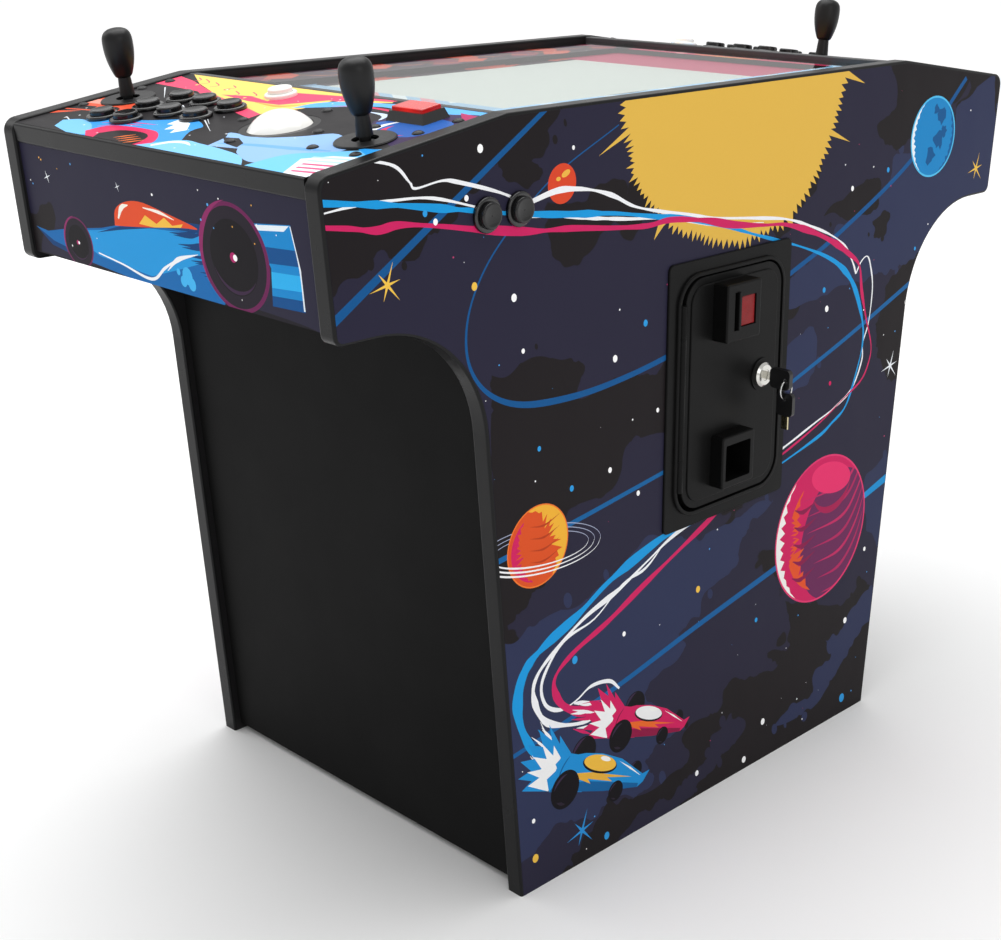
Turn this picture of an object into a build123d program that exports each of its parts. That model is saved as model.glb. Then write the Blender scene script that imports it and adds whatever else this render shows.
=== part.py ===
from build123d import *
import os
from math import atan2, cos, degrees, hypot, pi, radians, sin, tan

# Two-ended arcade cabinet: a waisted table body on two side panels, with a screen under
# glass in its flat top and a sloping control deck at each end.
# Millimetres. The origin is on the floor at the middle of the cabinet, +Z is up,
# X runs across the cabinet and Y along it. The front player stands at -Y and the
# coin door is in the +X side. Rear parts are front parts turned half round about Z.

# ---------------------------------------------------------------- cabinet outline
cabinet_width = 512.0         # over the outer faces of the side panels
top_height = 800.0            # floor to the crown of the trim on the flat top
top_half_length = 324.0       # centre to the bend where a control deck begins
deck_run = 216.0              # from the bend out to the deck's tip
deck_fall = 33.0              # from the bend down to the deck's tip
end_depth = 145.0             # from the tip down to the lower lip
end_lean = 14.0               # from the tip back to the lower lip
foot_half_length = 305.0      # leg half length at the floor
waist_half_length = 362.0     # leg line carried up to the lip height
knee_radius = 130.0
lip_radius = 10.0
tip_radius = 14.0
bend_radius = 30.0

# ---------------------------------------------------------------- boards and trim
board = 20.0                  # side panels and control panels
thin_board = 12.0             # aprons and deck floors
leg_board = 15.0              # leg panels and bottom board
trim_crown = 3.0              # how far the edge trim stands off the board's edge
trim_round = 2.4
tongue_length = 8.0
tongue_thick = 2.4
groove_gap = 0.1
tongue_foot = 12.0            # tongue and groove stop this far above the floor
leg_recess = 10.0
leg_foot_gap = 8.0
apron_recess = 5.0
floor_gap = 0.4
floor_rise = 12.0             # deck floor's underside above the lip height
apron_rise = 9.0              # apron's lower edge above the lip height

# ---------------------------------------------------------------- control deck
deck_drop = 2.5               # deck surface below the trim's crown line
lip_setback = 2.0
deck_side_gap = 0.5
shaft_hole = 38.0
bolt_head_radius = 6.0
bolt_head_rise = 2.8
bolt_shank_radius = 3.0
bolt_gap = 0.3
bolt_past_nut = 7.0
bolt_short = 2.0              # a hold-down bolt stops this far inside its strip
hex_radius = 5.6              # hexagon nut, centre to corner
hex_thick = 5.0
cleat = 20.0                  # square strips that a deck is screwed to
cleat_start = 10.0
cleat_length = 48.0
cleat_bolt_down = 32.0

# Places on a deck: x across, and distance down the slope from the bend.
stick_down = 102.0
first_stick_inset = 36.0      # first joystick from the left side panel's inner face
second_stick_inset = 43.0     # second joystick from the right one
second_stick_down = 113.0
rear_stick_x = -66.0
button_offsets = [(47, 60), (86, 58), (63, 17), (110, 23), (153, 22), (71, -19), (111, -19), (160, -14)]
start_offset = (166, -72)
trackball_x = 67.0
trackball_down = 110.0
lit_button_inset = 55.0       # lit button from the right side panel's inner face
lit_button_down = 40.0

# ---------------------------------------------------------------- push buttons
barrel_diameter = 28.0
barrel_wall = 1.3
barrel_past_nut = 3.0
barrel_floor = 3.0
button_hole_gap = 0.3
rim_width = 2.7
rim_height = 4.4
rim_round = 2.2
plunger_gap = 0.3
plunger_top = 9.4
plunger_skirt = 6.0
plunger_round = 2.0
stem_diameter = 8.0
stem_gap = 0.4
stem_past_floor = 1.0
stem_spare = 0.6              # room under a fully pressed stem
button_travel = 3.0
dish_radius = 55.0
dish_depth = 0.9
nut_width = 3.0
nut_height = 7.0
switch_size = (22.0, 11.0, 18.0)
side_button_offsets = (27.0, -14.0)   # past the bend, along the cabinet
side_button_drop = 88.0       # below the top height

lit_base = (51.0, 33.0)
lit_top = (45.0, 27.0)
lit_height = 9.5
lit_wall = 2.0
lit_cap_proud = 4.0
lit_cap_round = 1.2
lit_well = 7.5                # depth of the square well that the cap sits in
lit_barrel_diameter = 24.0

# ---------------------------------------------------------------- joysticks
washer_diameter = 57.0
washer_hole = 24.6
washer_thick = 2.2
pivot_drop = 10.0             # below the underside of the deck board
shaft_diameter = 9.5
shaft_below_pivot = 26.0
shaft_collar = 10.6           # shaft through the dust washer
dust_cap_diameter = 25.8      # domed cap on the shaft, under the washer's hole
dust_cap_rise = 0.8
dust_cap_thick = 1.5
sleeve_foot = 15.6
sleeve_neck = 13.0
sleeve_start = 5.0
bat_start = 23.5
bat_neck = 13.6
bat_shoulder = (20.0, 4.5)    # diameter, and height above the bat's start
bat_diameter = 31.0
bat_widest = 59.0
bat_top = 74.5
plate_thick = 2.0
plate_margin = 6.5            # plate's edge outside its bolts
stick_bolts = (29.0, 36.0)    # half spacing across and down the deck
base_outer = 56.0
base_inner = 42.0
base_depth = 40.0
base_floor = 3.0
base_floor_hole = 22.0
ring_size = (32.0, 28.0, 8.0)
ring_hole = 18.0
trunnion_diameter = 5.0
cross_pin_diameter = 4.0
pin_gap = 0.05                # radial running clearance of pins and spindles

# ---------------------------------------------------------------- trackball
ball_diameter = 76.2
ball_rise = 15.5              # top of the ball above the deck
ball_gap = 0.6
hole_gap = 0.4                # deck's hole round the ball
track_wall = 12.9             # housing wall outside the ball
flange_width = 11.0
flange_thick = 3.0
flange_bolt_inset = 5.0
track_floor = 8.0             # housing floor under the ball
track_ring_height = 10.0
roller_diameter = 11.0
roller_length = 34.0
spindle_diameter = 5.0
roller_gap = 0.3
roller_room = 0.8
roller_end_room = 2.0
spindle_short = 3.0           # spindle's end inside the housing's face
roller_drop = 16.0            # degrees below the ball's equator
idler_gap = 0.8
idler_thick = 5.0
idler_diameter = 10.0

# ---------------------------------------------------------------- screen and glass
glass_recess = 6.5
glass_thick = 5.0
glass_gap = 0.5
glass_chamfer = 0.8
rail_width = 12.0
rail_height = 34.0
rail_round = 1.5
rail_drop = 1.6               # rail top below the trim's crown
bezel_thick = 6.0
ledge = 12.0
screen_size = (336.0, 598.0)  # active picture of a 27 inch monitor, across and along
monitor_size = (365.0, 613.0, 44.0)
screen_sink = 1.0
screen_thick = 2.0
bar_size = 30.0
bar_y = 200.0

# ---------------------------------------------------------------- coin door
door_y = 6.0
door_z = 480.0
frame_size = (206.0, 290.0, 3.0)
frame_radius = 7.0
frame_chamfer = 0.8
border_hinge = 16.5
border_free = 17.0
border_top = 17.0
opening_radius = 30.0
bead_width = 4.0
bead_height = 3.0
bead_round = 1.4
flange_wall = 3.0
flange_depth = 18.0
cutout_gap = 1.0
hinge_inset = 4.0             # hinge axis from the opening's edge
hinge_proud = 5.5             # hinge axis out from the side panel's face
knuckle_radius = 3.5
knuckle_gap = 0.3
hinge_pin_radius = 1.5
hinge_half_length = 101.0
leaf_overlap = 1.5            # frame leaf's reach over the opening's edge
door_leaf_overlap = 3.0
door_knuckle_half = 66.0
door_gap = 2.0
door_hinge_gap = 0.5
door_plate = 3.0
door_back = 2.0               # door plate's back out from the side panel's face
door_rim_depth = 10.0
door_rim_wall = 2.0
door_round = 1.0
door_raise = 1.5
door_raise_inset = 8.0
raise_round = 1.2
mould_gap = 0.3
mould_round = 2.0

entry_box = (-30.0, 27.0, 535.0, 597.5)   # y and z limits of the coin entry
entry_proud = 19.0
entry_radius = 3.0
slot_y = -15.2
slot_size = (5.4, 41.0)
slot_z = 567.5
slot_lip = (3.6, 2.0)         # wide and proud, beside the slot
reject_y = 6.0
reject_z = 566.0
reject_size = (24.0, 32.0)
reject_sink = 1.5
reject_depth = 14.0
reject_travel = 3.0
reject_spare = 1.0
reject_round = 1.0
spigot_inset = 4.0
spigot_depth = 14.0
mech_box = (-45.0, 45.0, 506.0, 598.0)
mech_depth = 82.0

cup_box = (-27.0, 28.0, 373.0, 431.0)
cup_proud = 16.5
cup_radius = 4.0
cup_opening = (-21.0, 21.0, 381.0, 421.0)
cup_opening_radius = 2.0
cup_depth = 22.0
flap_thick = 2.0
flap_gap = 0.8
flap_pin_radius = 1.5
flap_pin_drop = 3.0
flap_inset = 4.0
flap_pin_end = 1.6            # pin's length into each side of the cup

lock_y = 57.0
lock_z = 482.0
lock_boss = 36.0
boss_height = 1.5
collar_diameter = 27.0
collar_height = 5.0
lock_barrel = 19.6
lock_depth = 26.0
lock_nut = 6.0
collar_chamfer = 2.4
plug_radius = 6.3
plug_gap = 0.06
plug_sink = 0.5
cam_size = (3.0, 14.0, 38.0)
cam_gap = 1.0
key_blade = (8.0, 2.2, 8.0)   # out of the lock, thick, tall
key_bow = (26.0, 6.0, 22.0)
bow_round = 5.0
bow_hole = 2.6
bow_hole_inset = (6.0, 10.0)  # from the bow's front and its lower edge
key_ring_radius = 10.0
wire_radius = 0.9
spare_bow = (21.0, 5.0, 26.0)
spare_blade = (8.0, 2.2, 15.0)
spare_hole = 2.2
wire_slack = 0.6
spare_overlap = 7.0           # the spare bow's top above the ring's lowest point

# ---------------------------------------------------------------- inside and back
computer_size = (320.0, 280.0, 100.0)
case_round = 4.0
case_slots = 8
case_slot = (3.0, 8.0, 60.0)  # deep, wide, tall
case_slot_pitch = 20.0
speaker_radius = 40.0
speaker_flange = 48.0
speaker_flange_thick = 3.0
speaker_height = 34.0
magnet_radius = 28.0
magnet_thick = 20.0
grille_thick = 2.0
grille_hole = 2.6
grille_rings = ((0, 1), (11, 6), (22, 12), (32, 18))   # radius and holes
inlet_size = (58.0, 32.0)
inlet_flange = 4.5            # flange beyond the body, each side
inlet_thick = 3.0
inlet_depth = 40.0
inlet_height = 120.0
inlet_gap = 0.5
socket_size = (24.0, 18.0, 14.0)
socket_x = -11.0
prong_size = (1.6, 4.0, 12.0)
prong_pitch = 6.0
rocker_size = (11.0, 18.0, 2.5)
rocker_x = 14.0
vent_count = 6
vent_size = (180.0, 7.0)
vent_pitch = 16.0
vent_height = 470.0

# ---------------------------------------------------------------- worked out
inner_half = cabinet_width / 2 - board
face_x = cabinet_width / 2
tip_half_length = top_half_length + deck_run
tip_height = top_height - deck_fall
lip_half_length = tip_half_length - end_lean
lip_height = tip_height - end_depth
lean = end_lean / end_depth
slope = atan2(deck_fall, deck_run)
deck_length = hypot(deck_fall, deck_run)
deck_edge = deck_length - lip_setback - trim_crown
deck_half_width = inner_half - deck_side_gap
floor_z = lip_height + floor_rise
glass_top = top_height - glass_recess
bezel_top = glass_top - glass_thick
bezel_bottom = bezel_top - bezel_thick
leg_lean = (waist_half_length - foot_half_length) / lip_height
barrel_length = board + nut_height + barrel_past_nut
button_hole = barrel_diameter / 2 + button_hole_gap
lit_hole = lit_barrel_diameter / 2 + button_hole_gap
rim_diameter = barrel_diameter + 2 * rim_width
plunger_diameter = barrel_diameter - 2 * barrel_wall - 2 * plunger_gap
nut_diameter = barrel_diameter + 2 * nut_width
lit_cap = (lit_top[0] - 2 * lit_wall, lit_top[1] - 2 * lit_wall)
pivot_h = -board - pivot_drop
ball_h = ball_rise - ball_diameter / 2
trackball_hole = ball_diameter / 2 + hole_gap
track_box = ball_diameter + 2 * track_wall
track_flange = track_box + 2 * flange_width
track_bolt_radius = track_flange / 2 - flange_bolt_inset
bolt_hole = bolt_shank_radius + bolt_gap
cleat_bolt_inset = cleat / 2  # hold-down bolt from the side panel's face
first_stick_x = first_stick_inset - inner_half
second_stick_x = inner_half - second_stick_inset
lit_button_x = inner_half - lit_button_inset
side_button_z = top_height - side_button_drop
side_button_ys = [-top_half_length - past for past in side_button_offsets]
leg_tilt = atan2(leg_lean, 1)

deck_start = (0, -top_half_length, top_height - deck_drop)
deck_frame = Plane(origin=deck_start, x_dir=(1, 0, 0), z_dir=(0, -sin(slope), cos(slope)))
leg_start = (0, leg_recess - foot_half_length, 0)
leg_frame = Plane(origin=leg_start, x_dir=(1, 0, 0), z_dir=(0, -cos(leg_tilt), -sin(leg_tilt)))


# ---------------------------------------------------------------- helpers
def save(node, *solids):
    """Write one node, a single solid or a group of separate ones."""
    pieces = []
    for solid in solids:
        pieces.extend(solid.solids())
    shape = pieces[0] if len(pieces) == 1 else Compound(children=pieces)
    export_step(shape, f"parts/{node}.step")


def turned(shape):
    """The same piece at the rear end."""
    return Rot(0, 0, 180) * shape


def on_deck(shape, x, down, height=0.0):
    """Place a piece, modelled about its own +Z axis, on the front deck."""
    return deck_frame.location * Pos(x, -down, height) * shape


def on_rear(shape, x, down, height=0.0):
    """Place a piece on the rear deck, in that deck's own left and right."""
    return turned(on_deck(shape, x, down, height))


def on_leg(shape, x, up, out=0.0):
    """Place a piece, modelled about its own +Z axis, on the front leg panel."""
    return leg_frame.location * Pos(x, up, out) * shape


def on_side(shape, side, y, z):
    """Place a piece on a side panel's outer face; side is 1 for +X and -1 for -X."""
    return Pos(side * face_x, y, z) * Rot(0, side * 90, 0) * shape


def disc(radius, low, high):
    """Upright cylinder between two heights."""
    return Pos(0, 0, (low + high) / 2) * Cylinder(radius, high - low)


def block(x0, x1, y0, y1, z0, z1):
    """Box between two corners."""
    return Pos((x0 + x1) / 2, (y0 + y1) / 2, (z0 + z1) / 2) * Box(x1 - x0, y1 - y0, z1 - z0)


def across(points, half_width):
    """Board with an outline in Y and Z, centred on X."""
    outline = make_face(Polyline(*points, close=True))
    return extrude(Plane.YZ * outline, amount=half_width, both=True)


def side_plate(limits, x0, x1, radius=0.0):
    """Plate facing +X; limits are its y and z ranges."""
    y0, y1, z0, z1 = limits
    if radius > 0:
        shape = RectangleRounded(y1 - y0, z1 - z0, radius)
    else:
        shape = Rectangle(y1 - y0, z1 - z0)
    return extrude(Plane.YZ.offset(x0) * Pos((y0 + y1) / 2, (z0 + z1) / 2) * shape, amount=x1 - x0)


def grown(limits, by):
    """Limits moved outwards all round."""
    y0, y1, z0, z1 = limits
    return (y0 - by, y1 + by, z0 - by, z1 + by)


def pin_x(radius, x0, x1, y=0.0, z=0.0):
    """Cylinder along X."""
    return Pos((x0 + x1) / 2, y, z) * Rot(0, 90, 0) * Cylinder(radius, x1 - x0)


def pin_y(radius, y0, y1, x=0.0, z=0.0):
    """Cylinder along Y."""
    return Pos(x, (y0 + y1) / 2, z) * Rot(90, 0, 0) * Cylinder(radius, y1 - y0)


def pin_z(radius, x, y, low, high):
    """Cylinder along Z."""
    return Pos(x, y, 0) * disc(radius, low, high)


def hole(radius):
    """Cutter through a board that lies under z = 0."""
    return disc(radius, -2 * board, board)


# ---------------------------------------------------------------- side panels
def side_outline(inset):
    """Waisted outline in Y and Z, moved in by inset; its foot line is one crown below the floor."""
    corners = [
        (foot_half_length - leg_lean * trim_crown, -trim_crown, 0.0),
        (waist_half_length, lip_height, knee_radius),
        (lip_half_length, lip_height, lip_radius),
        (tip_half_length, tip_height, tip_radius),
        (top_half_length, top_height, bend_radius),
    ]
    right = [(y, z) for y, z, r in corners]
    left = [(-y, z) for y, z in reversed(right)]
    outline = make_face(Polyline(*(right + left), close=True))
    for y, z, r in corners:
        if r > 0:
            here = [v for v in outline.vertices() if hypot(abs(v.X) - y, v.Y - z) < 0.01]
            outline = fillet(here, r)
    if inset > 0:
        outline = offset(outline, amount=-inset, kind=Kind.INTERSECTION)
    return outline


def side_slab(inset, x0, x1):
    return extrude(Plane.YZ.offset(x0) * side_outline(inset), amount=x1 - x0)


def tongue_ring(side, thick, depth):
    """Ring inside a side panel's edge at mid thickness, open at the floor."""
    mid = side * (face_x - board / 2)
    ring = side_slab(trim_crown, mid - thick / 2, mid + thick / 2)
    ring -= side_slab(trim_crown + depth, mid - thick / 2, mid + thick / 2)
    return ring - block(-face_x, face_x, -foot_half_length, foot_half_length, -board, tongue_foot)


def side_panel(side):
    x0, x1 = sorted((side * inner_half, side * face_x))
    panel = side_slab(trim_crown, x0, x1)
    panel -= tongue_ring(side, tongue_thick + 2 * groove_gap, tongue_length + groove_gap)
    for y in side_button_ys:
        panel -= on_side(hole(button_hole), side, y, side_button_z)
    if side > 0:
        cutout = grown(opening_limits(), flange_wall + cutout_gap)
        panel -= side_plate(cutout, x0 - board, x1 + board, opening_radius + flange_wall + cutout_gap)
    return panel


def side_trim(side):
    """Edge trim of one side panel: a round crown and a tongue in the panel's groove."""
    x0, x1 = sorted((side * inner_half, side * face_x))
    crown = side_slab(0, x0, x1)
    rims = [e for e in crown.edges() if abs(e.center().X - x0) < 0.01 or abs(e.center().X - x1) < 0.01]
    crown = fillet(rims, trim_round)
    crown -= side_slab(trim_crown, x0 - board, x1 + board)
    crown -= block(-2 * face_x, 2 * face_x, -tip_half_length, tip_half_length, -2 * board, 0)
    return crown + tongue_ring(side, tongue_thick, tongue_length)


# ---------------------------------------------------------------- decks
def deck_point(down, height):
    """Y and Z of a place on the front deck."""
    y = -top_half_length - down * cos(slope) - height * sin(slope)
    z = top_height - deck_drop - down * sin(slope) + height * cos(slope)
    return (y, z)


def underside(y):
    """Height of the deck board's underside at y."""
    return top_height - deck_drop - board / cos(slope) - (abs(y) - top_half_length) * tan(slope)


def control_panel(sticks, buttons, lit, track):
    """Front control panel board with its holes."""
    profile = [(-top_half_length, top_height - deck_drop), (-top_half_length, underside(top_half_length))]
    profile += [deck_point(deck_edge, -board), deck_point(deck_edge, 0)]
    panel = across(profile, deck_half_width)
    groove = Box(3 * deck_half_width, 2 * (tongue_length + groove_gap), tongue_thick + 2 * groove_gap)
    panel -= on_deck(groove, 0, deck_edge, -board / 2)
    for places, radius in (
        (sticks, shaft_hole / 2),
        (buttons, button_hole),
        (lit, lit_hole),
        (track, trackball_hole),
        (bolt_places(sticks, track), bolt_hole),
    ):
        for x, down in places:
            panel -= on_deck(hole(radius), x, down)
    return panel


def stick_bolt_places(x, down):
    """Bolts of one joystick's plate."""
    across_by, down_by = stick_bolts
    return [(x + i * across_by, down + j * down_by) for i in (-1, 1) for j in (-1, 1)]


def track_bolt_places(x, down):
    """Bolts of the trackball's flange."""
    r = track_bolt_radius
    return [(x + i * r, down + j * r) for i, j in ((1, 0), (0, 1), (-1, 0), (0, -1))]


def cleat_bolt_places():
    """Hold-down bolts beside the side panels."""
    return [(side * (inner_half - cleat_bolt_inset), cleat_bolt_down) for side in (-1, 1)]


def bolt_places(sticks, track):
    """Every bolt through a deck."""
    places = cleat_bolt_places()
    for place in sticks:
        places += stick_bolt_places(*place)
    for place in track:
        places += track_bolt_places(*place)
    return places


def lip_trim():
    """Trim on the deck's lower edge, front end."""
    crown = Pos(0, -trim_crown / 2, 0) * Box(2 * deck_half_width, trim_crown, board)
    crown = fillet(crown.edges().filter_by(Axis.X).group_by(Axis.Y)[0], trim_round)
    tongue = Pos(0, tongue_length / 2, 0) * Box(2 * deck_half_width, tongue_length, tongue_thick)
    return on_deck(crown + tongue, 0, deck_edge, -board / 2)


def end_y(z):
    """Distance of a deck's end line from the centre at height z."""
    return lip_half_length + lean * (z - lip_height)


def apron():
    """Board under the front lip, parallel to the deck's end line."""
    low = lip_height + apron_rise
    front = -end_y(low) + apron_recess
    front_top = -end_y(underside(tip_half_length)) + apron_recess
    points = [(front, low), (front_top, underside(front_top))]
    points += [(front_top + thin_board, underside(front_top + thin_board)), (front + thin_board, low)]
    return across(points, inner_half)


def deck_floor():
    """Floor of the front control box, with the speaker's opening."""
    outer = end_y(floor_z) - apron_recess - thin_board - floor_gap
    inner = leg_y(floor_z) - leg_board
    floor = block(-inner_half, inner_half, -outer, -inner, floor_z, floor_z + thin_board)
    return floor - Pos(0, -speaker_y(), floor_z) * hole(speaker_radius)


def leg_y(z):
    """Distance of the leg panel's outer face from the centre at height z."""
    return foot_half_length + leg_lean * z - leg_recess


def speaker_y():
    return (lip_half_length + leg_y(floor_z)) / 2


def leg_panel(rear):
    points = [(-leg_y(leg_foot_gap), leg_foot_gap), (-leg_y(floor_z), floor_z)]
    points += [(leg_board - leg_y(floor_z), floor_z), (leg_board - leg_y(leg_foot_gap), leg_foot_gap)]
    panel = across(points, inner_half)
    if rear:
        wide, tall = [size - 2 * inlet_flange + 2 * inlet_gap for size in inlet_size]
        panel -= on_leg(Box(wide, tall, 4 * leg_board), 0, inlet_height)
        for i in range(vent_count):
            slot = extrude(SlotOverall(*vent_size), amount=2 * leg_board, both=True)
            panel -= on_leg(slot, 0, vent_height + i * vent_pitch)
        panel = turned(panel)
    return panel


def bottom_board():
    return block(-inner_half, inner_half, leg_board - leg_y(0), leg_y(0) - leg_board, 0, leg_board)


def supports():
    """Glass rails, bezel ledges, monitor bars and the strips that the decks are screwed to."""
    pieces = []
    rail_top = top_height - rail_drop
    rail_end = rail_width - top_half_length
    rail = block(-inner_half, inner_half, -top_half_length, rail_end, rail_top - rail_height, rail_top)
    rail = fillet(rail.edges().filter_by(Axis.X).group_by(Axis.Z)[-1], rail_round)
    bar_low = monitor_low() - bar_size
    bar = block(-inner_half, inner_half, -bar_y - bar_size / 2, bar_size / 2 - bar_y, bar_low, monitor_low())
    strip_middle = cleat_start + cleat_length / 2
    strip = Box(cleat, cleat_length, cleat)
    strip -= Pos(0, strip_middle - cleat_bolt_down, 0) * Cylinder(bolt_hole, 2 * cleat)
    strip = on_deck(strip, inner_half - cleat / 2, strip_middle, -board - cleat / 2)
    for piece in (rail, bar, strip, mirror(strip, Plane.YZ)):
        pieces += [piece, turned(piece)]
    for side in (-1, 1):
        x0, x1 = sorted((side * inner_half, side * (inner_half - ledge)))
        pieces.append(block(x0, x1, rail_end, -rail_end, bezel_bottom - ledge, bezel_bottom))
    return pieces


# ---------------------------------------------------------------- screen
def monitor_low():
    return bezel_bottom - monitor_size[2]


def glass():
    x = inner_half - glass_gap
    y = top_half_length - rail_width - glass_gap
    pane = block(-x, x, -y, y, bezel_top, glass_top)
    return chamfer(pane.edges().group_by(Axis.Z)[-1], glass_chamfer)


def monitor_bezel():
    y = top_half_length - rail_width
    sheet = block(-inner_half, inner_half, -y, y, bezel_bottom, bezel_top)
    return sheet - Pos(0, 0, bezel_bottom) * Box(*screen_size, 4 * bezel_thick)


def monitor():
    """Monitor case and its picture panel, two solids."""
    x, y, z = monitor_size
    wide, long = screen_size
    picture_top = bezel_bottom - screen_sink
    picture_low = picture_top - screen_thick
    case = block(-x / 2, x / 2, -y / 2, y / 2, monitor_low(), bezel_bottom)
    case -= block(-wide / 2, wide / 2, -long / 2, long / 2, picture_low, bezel_top)
    return [case, block(-wide / 2, wide / 2, -long / 2, long / 2, picture_low, picture_top)]


# ---------------------------------------------------------------- push buttons
def button_body():
    """Threaded barrel with a round rim, the deck surface at z = 0."""
    rim = disc(rim_diameter / 2, 0, rim_height)
    rim = fillet(rim.edges().group_by(Axis.Z)[-1], rim_round)
    body = rim + disc(barrel_diameter / 2, -barrel_length, 0)
    body -= disc(plunger_diameter / 2 + plunger_gap, barrel_floor - barrel_length, 2 * rim_height)
    return body - stem(stem_gap, -2 * barrel_length, 0)


def stem(gap, low, high):
    """Stem of a push cap, or with a gap the hole that it runs in."""
    return disc(stem_diameter / 2 + gap, low, high)


def ring_nut(inner_diameter):
    """Nut on a barrel, under the board."""
    nut = disc(nut_diameter / 2, -board - nut_height, -board)
    return nut - hole(inner_diameter / 2)


def switch_body():
    """Switch under a barrel, with the pocket that the stem presses into."""
    x, y, z = switch_size
    top = -barrel_length
    pocket = stem_past_floor + button_travel + stem_spare
    return block(-x / 2, x / 2, -y / 2, y / 2, top - z, top) - stem(stem_gap, top - pocket, 0)


def plunger():
    """Dished push cap with its stem."""
    cap = disc(plunger_diameter / 2, -plunger_skirt, plunger_top)
    cap = fillet(cap.edges().group_by(Axis.Z)[-1], plunger_round)
    cap -= Pos(0, 0, plunger_top + dish_radius - dish_depth) * Sphere(dish_radius)
    return cap + stem(0, -barrel_length - stem_past_floor, 0)


def lit_body():
    """Square housing of the lit button with its round barrel."""
    hood = loft([Rectangle(*lit_base), Pos(0, 0, lit_height) * Rectangle(*lit_top)])
    hood += disc(lit_barrel_diameter / 2, -barrel_length, 0)
    wide, tall = [size + 2 * plunger_gap for size in lit_cap]
    hood -= Pos(0, 0, lit_height) * Box(wide, tall, 2 * lit_well)
    return hood - stem(stem_gap, -2 * barrel_length, lit_height)


def lit_cap_piece():
    """Square cap, clear of the well's floor by a little more than its travel."""
    wide, tall = lit_cap
    low = lit_height - lit_well + button_travel + stem_spare
    top = lit_height + lit_cap_proud
    cap = block(-wide / 2, wide / 2, -tall / 2, tall / 2, low, top)
    cap = fillet(cap.edges().group_by(Axis.Z)[-1], lit_cap_round)
    return cap + stem(0, -barrel_length - stem_past_floor, low + stem_past_floor)


# ---------------------------------------------------------------- joysticks
def dust_washer():
    ring = disc(washer_diameter / 2, 0, washer_thick)
    ring = chamfer(ring.edges().group_by(Axis.Z)[-1], 0.9)
    return ring - disc(washer_hole / 2, -1, 2 * washer_thick)


def joystick_base():
    """Plate under the deck and the open box that carries the pivot ring."""
    top = -board
    wide, tall = [2 * (half + plate_margin) for half in stick_bolts]
    plate = Pos(0, 0, top - plate_thick / 2) * Box(wide, tall, plate_thick)
    box = Pos(0, 0, top - base_depth / 2) * Box(base_outer, base_outer, base_depth)
    room = Pos(0, 0, top - base_depth / 2 + base_floor) * Box(base_inner, base_inner, base_depth)
    base = plate + box - room - disc(base_floor_hole / 2, top - 2 * base_depth, top)
    base -= pin_x(trunnion_diameter / 2 + pin_gap, -base_outer, base_outer, 0, pivot_h)
    for x, y in stick_bolt_places(0, 0):
        base -= Pos(x, y, 0) * hole(bolt_hole)
    return base


def pivot_ring():
    """Ring that rocks on two trunnions along X."""
    ring = Pos(0, 0, pivot_h) * Box(*ring_size)
    ring += pin_x(trunnion_diameter / 2, -base_outer / 2 + 2, base_outer / 2 - 2, 0, pivot_h)
    ring -= disc(ring_hole / 2, pivot_h - ring_size[2], pivot_h + ring_size[2])
    return ring - pin_y(cross_pin_diameter / 2 + pin_gap, -ring_size[1], ring_size[1], 0, pivot_h)


def stick():
    """Shaft with a cross pin along Y, a dust cap round the pivot, a sleeve and a bat-shaped knob."""
    shaft = disc(shaft_diameter / 2, pivot_h - shaft_below_pivot, bat_start + 4)
    shaft += disc(shaft_collar / 2, -2 * dust_cap_thick, sleeve_start)
    sleeve_long = bat_start - sleeve_start
    sleeve = Cone(sleeve_foot / 2, sleeve_neck / 2, sleeve_long)
    shaft += Pos(0, 0, sleeve_start + sleeve_long / 2) * sleeve
    cap_radius = dust_cap_rise - pivot_h
    cap = Pos(0, 0, pivot_h) * (Sphere(cap_radius) - Sphere(cap_radius - dust_cap_thick))
    shaft += cap & disc(dust_cap_diameter / 2, pivot_h / 2, sleeve_start)
    shaft += pin_y(cross_pin_diameter / 2, 1 - ring_size[1] / 2, ring_size[1] / 2 - 1, 0, pivot_h)
    widest = bat_diameter / 2
    side = Spline(
        (bat_neck / 2, bat_start),
        (bat_shoulder[0] / 2, bat_start + bat_shoulder[1]),
        (widest, bat_widest),
        (0, bat_top),
        tangents=[(1, 0.5), (-1, 0)],
    )
    closing = Polyline((0, bat_top), (0, bat_start), (bat_neck / 2, bat_start))
    knob = revolve(Plane.XZ * make_face([side, closing]), axis=Axis.Z)
    return shaft + knob


# ---------------------------------------------------------------- trackball
def track_ball():
    return Pos(0, 0, ball_h) * Sphere(ball_diameter / 2)


def ball_side(diameter, gap):
    """How far out from the ball's axis, and at what height, something beside the ball stands."""
    reach = ball_diameter / 2 + diameter / 2 + gap
    return (reach * cos(radians(roller_drop)), ball_h - reach * sin(radians(roller_drop)))


def track_roller():
    """Roller in front of the ball, on a spindle along X."""
    out, height = ball_side(roller_diameter, roller_gap)
    spindle_half = track_box / 2 - spindle_short
    body = pin_x(roller_diameter / 2, -roller_length / 2, roller_length / 2)
    body += pin_x(spindle_diameter / 2, -spindle_half, spindle_half)
    return Pos(0, -out, height) * body


def cross_roller():
    """Second roller, along Y, and the idler that keeps the ball against both."""
    out, height = ball_side(roller_diameter, roller_gap)
    body = pin_y(roller_diameter / 2, -roller_length / 2, roller_length / 2, -out, height)
    out, height = ball_side(idler_diameter, idler_gap)
    idler = Pos(out * cos(pi / 4), out * sin(pi / 4), height) * Cylinder(idler_diameter / 2, idler_thick)
    return [body, idler]


def track_ring():
    """Ring pressed into the deck's hole round the ball."""
    return disc(trackball_hole, -track_ring_height, 0) - ball_room()


def ball_room():
    return Pos(0, 0, ball_h) * Sphere(ball_diameter / 2 + ball_gap)


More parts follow.
